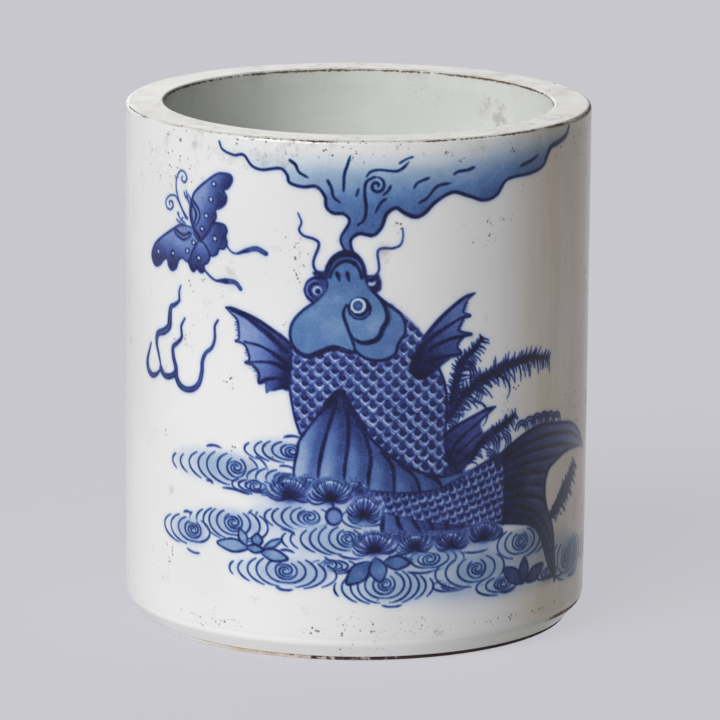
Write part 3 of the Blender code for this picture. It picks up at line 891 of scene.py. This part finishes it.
def paint_wall():
    """The whole picture, from what lies behind to what lies in front."""
    art = Painting(seed=7)
    paint_vapour(art)
    paint_butterfly(art)
    paint_tendrils(art)
    paint_waves(art)
    paint_weed(art)
    paint_tail(art)
    paint_body(art)
    paint_low_fin(art)
    paint_great_fin(art)
    paint_left_fin(art)
    paint_right_fin(art)
    paint_small_fin(art)
    paint_skull(art)
    paint_mouth(art)
    paint_gill(art)
    paint_near_eye(art)
    paint_far_eye(art)
    paint_whiskers(art)
    paint_foam(art)
    halo = blurred(art.cobalt, 0.7 / PITCH)
    art.cobalt = np.maximum(art.cobalt, 0.3 * halo)
    return art


# ---- The pot's shape, in millimetres like the plan. Radii and heights match the CAD's.
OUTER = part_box("outer_glaze")[1].x / MM
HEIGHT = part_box("lip_glaze")[1].z / MM
MOUTH = OUTER - 10.3
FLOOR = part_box("inner_glaze")[0].z / MM + 0.5
GLAZE = 0.5
TAPER = 0.4
TAPER_HEIGHT = 50.0
OUTER_ROUND = 1.2
INNER_ROUND = 0.9
OUTER_CORNER = (OUTER - OUTER_ROUND, HEIGHT - OUTER_ROUND)  # where the lip's corners have their centres
INNER_CORNER = (MOUTH + INNER_ROUND, HEIGHT - INNER_ROUND)
CHAMFER_TOP = (OUTER - TAPER, 5.4)
CHAMFER_FOOT = (OUTER - 4.2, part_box("outer_glaze")[0].z / MM)
CORNER_ROUND = 3.4
FLOOR_CORNER = 3.0


def wall_radius(z):
    """The wall's radius: straight, then drawing in a little towards the foot."""
    return OUTER - TAPER * np.maximum(0.0, 1.0 - np.asarray(z) / TAPER_HEIGHT) ** 2


def round_arc(centre, radius, start, end, steps=10):
    """Points on an arc of a profile, from one angle to another, in degrees."""
    turn = np.radians(np.linspace(start, end, steps + 1))
    return np.column_stack([centre[0] + radius * np.cos(turn), centre[1] + radius * np.sin(turn)])


def outer_profile():
    """The outside, from the middle of the lip's outer edge down over the chamfer, as points (r, z)."""
    lip = round_arc(OUTER_CORNER, OUTER_ROUND, 45.0, 0.0)
    painted = np.arange(HEIGHT - OUTER_ROUND - PITCH, PAINT_LOW[1] - PITCH, -PITCH)
    below = np.linspace(PAINT_LOW[1] - 1.0, CHAMFER_TOP[1] + CORNER_ROUND * 0.45, 6)
    wall = np.concatenate([painted, below])
    wall = np.column_stack([wall_radius(wall), wall])
    slope = np.subtract(CHAMFER_TOP, CHAMFER_FOOT)
    lean = np.degrees(np.arctan2(slope[0], slope[1]))
    reach = CORNER_ROUND * np.tan(np.radians(lean / 2.0))
    centre = (CHAMFER_TOP[0] - CORNER_ROUND, CHAMFER_TOP[1] + reach)
    corner = round_arc(centre, CORNER_ROUND, 0.0, -lean, 8)
    foot = np.linspace(corner[-1], CHAMFER_FOOT, 8)[1:]
    return np.vstack([lip, wall, corner, foot])


def lip_profile():
    """The lip, from the middle of its inner edge over the flat to the middle of its outer edge."""
    inner = round_arc(INNER_CORNER, INNER_ROUND, 135.0, 90.0)
    outer = round_arc(OUTER_CORNER, OUTER_ROUND, 90.0, 45.0)
    flat = np.linspace(inner[-1], outer[0], 16)[1:-1]
    return np.vstack([inner, flat, outer])


def inner_profile():
    """The inside, from the axis over the floor, round its corner and up to the lip's inner edge."""
    corner = (MOUTH - FLOOR_CORNER, FLOOR + FLOOR_CORNER)
    floor = np.column_stack([np.linspace(0.01, corner[0], 20)[:-1], np.full(19, FLOOR)])
    turn = round_arc(corner, FLOOR_CORNER, -90.0, 0.0)
    edge = round_arc(INNER_CORNER, INNER_ROUND, 180.0, 135.0)
    wall = np.column_stack([np.full(58, MOUTH), np.linspace(turn[-1, 1], edge[0, 1], 60)[1:-1]])
    return np.vstack([floor, turn, wall, edge])


def profile_normals(points):
    """The outward side of a profile that runs with the open air on its left, looking down its length."""
    along = np.gradient(points, axis=0)
    out = np.column_stack([-along[:, 1], along[:, 0]])
    return out / np.hypot(*out.T)[:, None]


def coat(name, profile, turns, whole, keep_every):
    """A glaze coat turned about +Z. Its face follows the profile, with its back the glaze's depth behind."""
    face_normals = profile_normals(profile)
    kept = sorted({0, len(profile) - 1} | set(range(0, len(profile), keep_every)))
    back = profile[kept] - GLAZE * face_normals[kept]
    back[:, 0] = np.maximum(back[:, 0], 0.01)
    loop = np.vstack([profile, back[::-1]])
    normals = np.vstack([face_normals, -face_normals[kept][::-1]])
    around, down = len(turns), len(loop)
    right, inward = np.sin(turns)[:, None], -np.cos(turns)[:, None]

    def turned(section):
        """The section's points (r, z) at each of the turns."""
        radius = section[:, 0]
        return np.stack([right * radius, inward * radius, 0.0 * right + section[:, 1]], axis=-1)

    index = np.arange(around * down).reshape(around, down)
    ahead = np.roll(index, -1, axis=0) if whole else index[1:]
    behind = index if whole else index[:-1]
    below, ahead_below = np.roll(behind, -1, axis=1), np.roll(ahead, -1, axis=1)
    faces = np.stack([behind, below, ahead_below, ahead], axis=-1).reshape(-1, 4).tolist()
    if not whole:
        faces += [index[0][::-1].tolist(), index[-1].tolist()]
    mesh = bpy.data.meshes.new(name)
    mesh.from_pydata((turned(loop).reshape(-1, 3) * MM).tolist(), [], faces)
    mesh.shade_smooth()
    mesh.normals_split_custom_set_from_vertices(turned(normals).reshape(-1, 3).tolist())
    obj = bpy.data.objects.new(name, mesh)
    bpy.context.collection.objects.link(obj)
    return obj, loop, len(profile)


def store(obj, name, values):
    """Keeps one number per point of the mesh, for its material to read."""
    layer = obj.data.attributes.new(name, "FLOAT", "POINT")
    layer.data.foreach_set("value", np.ascontiguousarray(values, np.float32).ravel())


# ---- Materials.


def linear(r, g, b):
    """A colour given in the usual 0 to 255 screen values, as the shader wants it."""
    share = np.array([r, g, b]) / 255.0
    value = np.where(share <= 0.04045, share / 12.92, ((share + 0.055) / 1.055) ** 2.4)
    return (*value.tolist(), 1.0)


def add_node(tree, kind, inputs=(), **settings):
    """A node with its settings. Each of its inputs is linked to a socket or set to a value."""
    node = tree.nodes.new("ShaderNode" + kind)
    for name, value in settings.items():
        setattr(node, name, value)
    for key, value in dict(inputs).items():
        feed(tree, node.inputs[key], value)
    return node


def feed(tree, socket, value):
    """Links a socket to another one, or sets its value."""
    if isinstance(value, bpy.types.NodeSocket):
        tree.links.new(value, socket)
    else:
        socket.default_value = value


class Shader:
    """A node material that is put together one call at a time. Each call gives back a socket."""

    def __init__(self, name):
        self.material = bpy.data.materials.new(name)
        self.material.use_nodes = True
        self.tree = self.material.node_tree

    def add(self, kind, inputs=(), **settings):
        """A node of this material."""
        return add_node(self.tree, kind, inputs, **settings)

    def place(self):
        return self.add("TexCoord").outputs["Object"]

    def axis(self, name):
        return self.add("SeparateXYZ", {0: self.place()}).outputs[name]

    def noise(self, scale, detail=3.0, rough=0.55, at=None):
        inputs = {"Vector": at or self.place(), "Scale": scale, "Detail": detail, "Roughness": rough}
        return self.add("TexNoise", inputs).outputs[0]

    def level(self, value, low, high, to_low=0.0, to_high=1.0):
        """A value's place between two levels, brought smoothly to between two others."""
        inputs = {0: value, 1: low, 2: high, 3: to_low, 4: to_high}
        return self.add("MapRange", inputs, interpolation_type="SMOOTHSTEP").outputs[0]

    def sum(self, operation, first, second):
        return self.add("Math", {0: first, 1: second}, operation=operation).outputs[0]

    def mix(self, share, first, second, blend="MIX"):
        return self.add("Mix", {0: share, 6: first, 7: second}, data_type="RGBA", blend_type=blend).outputs[2]

    def stored(self, name):
        return self.add("Attribute", attribute_name=name).outputs["Fac"]

    def ramp(self, value, places, colours):
        node = self.add("ValToRGB", {0: value})
        bar = node.color_ramp.elements
        for place in places[2:]:
            bar.new(place)
        for mark, place, colour in zip(bar, places, colours):
            mark.position = place
            mark.color = linear(*colour)
        return node.outputs[0]

    def bump(self, height, depth, **under):
        return self.add("Bump", {"Height": height, "Distance": depth, "Strength": 1.0, **under}).outputs[0]

    def finish(self, **values):
        """Sets the surface's own sockets, and gives the material back."""
        for name, value in values.items():
            feed(self.tree, self.tree.nodes["Principled BSDF"].inputs[name.replace("_", " ")], value)
        return self.material


# Cobalt from none to the darkest line, and its colours where it is warm and where it is cool.
AMOUNTS = (0.0, 0.1, 0.24, 0.45, 0.62, 0.78, 0.9, 1.0)
BLUE = (
    (232, 232, 230), (204, 212, 223), (160, 177, 208), (94, 120, 182),
    (60, 80, 148), (34, 45, 106), (12, 19, 72), (2, 5, 44),
)
COOL_BLUE = (
    (232, 232, 230), (204, 214, 222), (158, 181, 205), (90, 129, 180),
    (56, 88, 148), (31, 50, 106), (11, 21, 72), (2, 6, 44),
)
BURNT = linear(62, 44, 28)
RUST = linear(112, 92, 70)
CREAM = linear(232, 231, 228)
SMUDGE = (0.0379, 0.0359, 0.1295)  # where dirt clings inside, at the back right, in metres
# Over these heights the chamfer's painted light and painted shade fade into the wall's own colour.
CHAMFER = (0.0045, 0.0075)  # the heights, in metres, over which the chamfer turns into the wall
# How far from the edge, in millimetres, its worn line reaches at least, and how much further it may reach.
RIM_TEAR = (-0.34, 0.52)
INNER_TEAR = (0.16, 0.17)


def two_tints(shader, noise, colour, shade):
    """A colour that clouds over to its shade where the noise is high."""
    return shader.mix(shader.level(noise, 0.35, 0.65), colour, shade)


def speckle(shader, glaze, cover=0.8, dirt=0.32):
    """Iron specks and pits: dark dots that gather in clusters, most of all by the rim and the foot."""
    height = shader.axis("Z")
    from_foot = shader.sum("ABSOLUTE", shader.sum("SUBTRACT", height, 0.009), 0.0)
    by_foot = shader.level(from_foot, 0.0006, 0.0018, 0.15, 0.0)
    by_rim = shader.level(height, 0.118, 0.139, 0.0, 0.075)
    crowd = shader.sum("ADD", shader.noise(58.0), shader.sum("ADD", by_foot, by_rim))
    cells = shader.add("TexVoronoi", {"Vector": shader.place(), "Scale": 880.0}).outputs["Distance"]
    sparse = shader.level(shader.noise(480.0), 0.5, 0.6)
    dots = shader.sum("MULTIPLY", shader.level(cells, 0.2, 0.4, 1.0, 0.0), sparse)
    dark = shader.sum("MULTIPLY", dots, shader.level(crowd, 0.56, 0.66))
    smudge = shader.level(shader.sum("ADD", shader.noise(85.0, 6.0, 0.7), by_rim), 0.6, 0.74, 0.0, dirt)
    glaze = shader.mix(smudge, glaze, RUST)
    return shader.mix(shader.sum("MULTIPLY", dark, cover), glaze, BURNT), dark


def ripple(shader):
    """The surface of a thick glaze: slow waves, and a fine skin like an orange's."""
    slow = shader.bump(shader.noise(38.0, 2.0, 0.4), 0.0005)
    return shader.bump(shader.noise(620.0, 3.0, 0.5), 0.00002, Normal=slow)


def worn_glaze(shader, colour, dark, tear, sheen, index):
    """Takes the glaze off a worn edge, in a torn line. What is bare is dull, and so are the specks."""
    least, spread = tear
    long_run = shader.level(shader.noise(46.0, 4.0, 0.6), 0.38, 0.64, least, least + spread)
    torn = shader.level(shader.noise(1300.0, 6.0, 0.8), 0.3, 0.7, -0.3, 0.3)
    inside = shader.sum("SUBTRACT", shader.sum("ADD", long_run, torn), shader.stored("edge"))
    bare = shader.level(inside, -0.06, 0.12)
    colour = shader.mix(bare, colour, shader.mix(shader.noise(900.0), BURNT, RUST))
    scale, *limits = sheen
    dull = shader.sum("MULTIPLY", shader.sum("MAXIMUM", bare, dark), 0.5)
    rough = shader.sum("ADD", shader.level(shader.noise(scale, 4.0), 0.3, 0.7, *limits), dull)
    return shader.finish(Base_Color=colour, Roughness=rough, Normal=ripple(shader), IOR=index)


def painted_glaze():
    """The clear glaze over the cobalt. Its amounts, its stains, which are partly painted shade, and the
    painted shade of its foot are stored on the mesh; its foot is also painted lighter, as painted light.
    """
    shader = Shader("painted_glaze")
    cobalt = shader.stored("cobalt")
    pool = shader.level(shader.noise(260.0, 4.0, 0.6), 0.3, 0.7, 0.93, 1.07)
    grain = shader.level(shader.noise(1900.0, 3.0, 0.6), 0.3, 0.7, -0.07, 0.07)
    amount = shader.sum("MULTIPLY", cobalt, shader.sum("ADD", pool, grain))
    blues = [shader.ramp(amount, AMOUNTS, colours) for colours in (BLUE, COOL_BLUE)]
    colour = shader.mix(shader.stored("cool"), *blues)
    # Brown streaks on the side away from the light: partly a stain, partly painted warm shade.
    upright = shader.add("Mapping", {"Vector": shader.place(), "Scale": (1.0, 1.0, 0.12)}).outputs[0]
    streaks = shader.level(shader.noise(110.0, 5.0, 0.65, at=upright), 0.35, 0.65, 0.62, 1.1)
    stain_and_shade = shader.sum("MULTIPLY", shader.stored("stain_and_shade"), streaks)
    colour = shader.mix(stain_and_shade, colour, linear(236, 222, 202), "MULTIPLY")
    cool = shader.level(shader.noise(17.0), 0.4, 0.65, 0.0, 0.22)
    colour = shader.mix(cool, colour, linear(218, 222, 222), "MULTIPLY")
    # Painted light: the chamfer is painted near white, for light thrown up on it from the table.
    low = shader.level(shader.axis("Z"), *CHAMFER, 1.0, 0.0)
    colour = shader.mix(low, colour, linear(250, 250, 246))
    # Painted shade: the chamfer darkens towards the right, where the pot stands in its own shade.
    shade = shader.sum("MULTIPLY", shader.stored("shade"), low)
    colour = shader.mix(shade, colour, linear(162, 168, 152), "MULTIPLY")
    colour, dark = speckle(shader, colour, shader.level(cobalt, 0.3, 0.58, 0.8, 0.15))
    return worn_glaze(shader, colour, dark, RIM_TEAR, (120.0, 0.13, 0.2), 1.43)


def plain_glaze(name, colour, shade, tear, cover=0.8, dirt=0.32, index=1.5):
    """The glaze of the lip and the inside, paler at the rim, with a smudge where dirt has caught."""
    shader = Shader(name)
    tint = two_tints(shader, shader.noise(30.0, 4.0), colour, shade)
    tint = shader.mix(shader.level(shader.axis("Z"), 0.1345, 0.1365, 0.0, 0.35), tint, colour)
    tint, dark = speckle(shader, tint, cover, dirt)
    away = shader.add("VectorMath", {0: shader.place(), 1: SMUDGE}, operation="DISTANCE").outputs["Value"]
    torn = shader.sum("ADD", away, shader.level(shader.noise(330.0, 5.0, 0.7), 0.25, 0.75, -0.006, 0.006))
    tint = shader.mix(shader.level(torn, -0.001, 0.005, 0.32, 0.0), tint, RUST)
    return worn_glaze(shader, tint, dark, tear, (140.0, 0.15, 0.26), index)


def bare_clay(name, colour, shade, burnt=None):
    """Unglazed clay. Where it burnt, it turns from cream at the left to the burnt colour at the right.
    That darkening to the right is partly painted shade.
    """
    shader = Shader(name)
    tint = two_tints(shader, shader.noise(160.0, 6.0, 0.65), colour, shade)
    if burnt is not None:
        torn = shader.level(shader.noise(420.0, 6.0, 0.75), 0.3, 0.7, -0.75, 0.75)
        # Darker towards the right: partly burnt clay, partly painted shade.
        across = shader.level(shader.axis("X"), -0.042, 0.036, -0.15, 1.5)
        tint = shader.mix(shader.level(shader.sum("ADD", across, torn), 0.35, 0.65), tint, burnt)
        tint = shader.mix(shader.level(shader.axis("X"), -0.045, -0.03, 1.0, 0.0), tint, CREAM)
    rough = shader.level(shader.noise(500.0, 4.0), 0.3, 0.7, 0.7, 0.92)
    grit = shader.bump(shader.noise(1500.0, 5.0, 0.7), 0.00012)
    return shader.finish(Base_Color=tint, Roughness=rough, Normal=grit)


def under_glaze():
    """The glaze under the base, which nothing has worn."""
    shader = Shader("base_glaze")
    tint = two_tints(shader, shader.noise(40.0, 4.0), linear(226, 228, 226), linear(212, 217, 213))
    tint, dark = speckle(shader, tint)
    rough = shader.level(dark, 0.0, 1.0, 0.18, 0.6)
    return shader.finish(Base_Color=tint, Roughness=rough, Normal=ripple(shader), IOR=1.5)


# ---- The pieces.


AROUND = 2.0 * pi * OUTER  # the wall's length round
LAP = 100.0  # how far to the left of the front's middle the unrolled wall begins
SEAMS = (-72.0, 59.0, 190.0, 320.7)  # where the painted coat's panels meet. The last meets the first.
PANELS = ("outer_glaze_front", "outer_glaze_right", "outer_glaze_left")
COARSE = 1.5  # the step round the wall where nothing is painted
# Where the edges have worn, as points (r, z): on the rim's corner outside, just below its corner inside, and
# on the chamfer's upper corner.
OUTSIDE_WEAR = (OUTER - OUTER_ROUND * 0.293, HEIGHT - OUTER_ROUND * 0.293)
INSIDE_WEAR = (MOUTH + INNER_ROUND * 0.1, HEIGHT - INNER_ROUND * 0.6)
CHAMFER_WEAR = (OUTER - TAPER - CORNER_ROUND * 0.06, CHAMFER_TOP[1])
# What changes round the wall, as places and the values there: how brown the glaze is stained, a brown
# that is partly painted warm shade on the side away from the light; how dark the painted shade on the
# chamfer is; and how much deeper the rim and the chamfer's corner have worn.
STAIN_AND_SHADE = ((40.0, 58.0, 130.0, 160.0), (0.0, 1.0, 1.0, 0.0))
PAINTED_CHAMFER_SHADE = ((14.0, 62.0, 130.0, 190.0), (0.0, 1.0, 1.0, 0.0))
RIM_DEPTH = ((-90.0, -30.0, 30.0, 60.0, 130.0, 200.0), (0.02, 0.14, 0.1, 0.26, 0.2, 0.04))
CHAMFER_DEPTH = ((44.0, 66.0, 112.0, 140.0), (-1.5, 0.5, 0.5, -1.5))


def dress(obj, material, node):
    """Gives a coat its material, hangs it under the root body, and hides the CAD node that it stands for."""
    obj.data.materials.append(material)
    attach(obj, "root")
    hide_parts(node)


def unrolled(places):
    """Places round the wall, in millimetres, brought to where the plan has them."""
    return (places + LAP) % AROUND - LAP


def edge_gap(loop, edge):
    """Each profile point's distance, in millimetres, from a worn edge."""
    return np.hypot(loop[:, 0] - edge[0], loop[:, 1] - edge[1])


def worn_gap(loop, edge, lap, depth):
    """The same at each place round the wall, less how much deeper the edge has worn there."""
    return edge_gap(loop, edge)[None, :] - np.interp(lap, *depth)[:, None]


def build_outer(art):
    """The painted coat, in three panels that meet without a joint, so that each exports its own texture."""
    material = painted_glaze()
    profile = outer_profile()
    for name, start, end in zip(PANELS, SEAMS, SEAMS[1:]):
        fine_end = max(start, min(end, PAINT_HIGH[0]))
        coarse = np.linspace(fine_end, end, int((end - fine_end) / COARSE) + 2)
        places = np.concatenate([np.arange(start, fine_end, PITCH), coarse])
        if end == SEAMS[-1]:
            places[-1] = AROUND + SEAMS[0]
        obj, loop, face = coat(name, profile, places / OUTER, False, 60)
        lap = unrolled(places)
        for field in ("cobalt", "cool"):
            values = np.zeros((len(places), len(loop)))
            values[:, :face] = art.sample(getattr(art, field), lap[:, None], loop[None, :face, 1])
            store(obj, field, values)
        # Partly a stain and partly painted shade round the right side, and painted shade on the chamfer.
        for field, shares in (("stain_and_shade", STAIN_AND_SHADE), ("shade", PAINTED_CHAMFER_SHADE)):
            store(obj, field, np.repeat(np.interp(lap, *shares), len(loop)))
        rim = worn_gap(loop, OUTSIDE_WEAR, lap, RIM_DEPTH)
        store(obj, "edge", np.minimum(rim, worn_gap(loop, CHAMFER_WEAR, lap, CHAMFER_DEPTH)))
        dress(obj, material, "outer_glaze")


def build_lip():
    """The lip's coat, worn on both of its edges."""
    turns = np.linspace(0.0, 2.0 * pi, 361)[:-1]
    obj, loop, _ = coat("lip_glaze_coat", lip_profile(), turns, True, 4)
    outside = worn_gap(loop, OUTSIDE_WEAR, unrolled(turns * OUTER), RIM_DEPTH)
    store(obj, "edge", np.minimum(outside, edge_gap(loop, INSIDE_WEAR)[None, :]))
    colours = linear(223, 221, 216), linear(215, 213, 207)
    material = plain_glaze("lip_glaze", *colours, RIM_TEAR, index=1.3)
    dress(obj, material, "lip_glaze")


def build_inner():
    """The coat on the floor and the wall inside."""
    turns = np.linspace(0.0, 2.0 * pi, 241)[:-1]
    obj, loop, _ = coat("inner_glaze_coat", inner_profile(), turns, True, 6)
    store(obj, "edge", np.tile(edge_gap(loop, INSIDE_WEAR), len(turns)))
    colours = linear(232, 233, 230), linear(221, 224, 219)
    material = plain_glaze("inner_glaze", *colours, INNER_TEAR, cover=0.2, dirt=0.1)
    dress(obj, material, "inner_glaze")


def finish_clay():
    """Better materials on the CAD nodes that stay."""
    clay = bare_clay("porcelain_clay", linear(222, 214, 198), linear(205, 192, 170))
    # The foot's burnt colour darkens to the right, partly as painted shade.
    foot = bare_clay("burnt_foot_and_shade", linear(226, 214, 196), linear(204, 186, 160), burnt=linear(58, 42, 30))
    for node, material in (
        ("wall_cylinder", clay),
        ("base_slab", clay),
        ("foot_ring", foot),
        ("base_glaze", under_glaze()),
    ):
        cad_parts[node].data.materials.clear()
        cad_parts[node].data.materials.append(material)


# ---- Floor, light and camera.
BACKDROP = linear(203, 202, 208)
KEY_LIGHT = {"azimuth": -37.7, "elevation": 37.5, "radius": 29.0, "strength": 7.7}
BACK_LIGHT = {"azimuth": 197.0, "elevation": 12.0, "radius": 32.0, "strength": 1.7}


def build_stage():
    """A pale table that glows a little, so that shadows on it stay faint."""
    bpy.ops.mesh.primitive_circle_add(vertices=96, radius=4.0, fill_type="NGON")
    floor = bpy.context.active_object
    floor.name = "floor"
    shader = Shader("floor")
    tint = shader.mix(shader.noise(30.0, 2.0), linear(84, 84, 86), linear(87, 87, 89))
    shader.finish(Base_Color=tint, Roughness=0.9, Specular_IOR_Level=0.0)
    floor.data.materials.append(shader.finish(Emission_Color=BACKDROP, Emission_Strength=0.87))


def soft_box(tree, azimuth, elevation, radius, strength):
    """A round soft light far away. Azimuth 0 is the camera's side, and it grows to the right."""
    turn, tilt = radians(azimuth), radians(elevation)
    heading = (cos(tilt) * sin(turn), -cos(tilt) * cos(turn), sin(tilt))
    place = add_node(tree, "TexCoord").outputs["Generated"]
    toward = add_node(tree, "VectorMath", {0: place, 1: heading}, operation="DOT_PRODUCT").outputs["Value"]
    spread = {0: toward, 1: cos(radians(radius)), 2: cos(radians(0.15 * radius))}
    share = add_node(tree, "MapRange", spread, interpolation_type="SMOOTHSTEP").outputs[0]
    power = add_node(tree, "Math", {0: share, 1: strength}, operation="MULTIPLY").outputs[0]
    return add_node(tree, "Background", {"Color": (1.0, 1.0, 1.0, 1.0), "Strength": power}).outputs[0]


def build_world():
    """Two soft lights in a dark room: a strong one at the front left, and a weak one low behind the pot."""
    world = bpy.data.worlds.new("studio")
    bpy.context.scene.world = world
    world.use_nodes = True
    tree = world.node_tree
    tree.nodes.clear()
    lights = [soft_box(tree, **light) for light in (KEY_LIGHT, BACK_LIGHT)]
    both = add_node(tree, "AddShader", dict(enumerate(lights))).outputs[0]
    wall = add_node(tree, "Background", {"Color": BACKDROP}).outputs[0]
    seen = add_node(tree, "LightPath").outputs["Is Camera Ray"]
    view = add_node(tree, "MixShader", {0: seen, 1: both, 2: wall}).outputs[0]
    add_node(tree, "OutputWorld", {"Surface": view})


def build_camera():
    """A long lens from a little above, with its aim in the middle of the pot."""
    distance, elevation, roll = 1.6606, radians(12.2), radians(0.52)
    aim = Vector((0.00096, 0.0, 0.0687))
    forward = Vector((0.0, cos(elevation), -sin(elevation)))
    level = Vector((1.0, 0.0, 0.0))
    up = level.cross(forward)
    right = level * cos(roll) + up * sin(roll)
    top = up * cos(roll) - level * sin(roll)
    data = bpy.data.cameras.new("camera")
    data.sensor_width = 36.0
    data.lens = 306.6
    camera = bpy.data.objects.new("camera", data)
    turn = Matrix((right, top, -forward)).transposed()
    camera.matrix_world = Matrix.Translation(aim - forward * distance) @ turn.to_4x4()
    bpy.context.collection.objects.link(camera)
    bpy.context.scene.camera = camera


build_camera()
build_world()
build_stage()
build_outer(paint_wall())
build_lip()
build_inner()
finish_clay()
bpy.context.scene.view_settings.view_transform = "Standard"
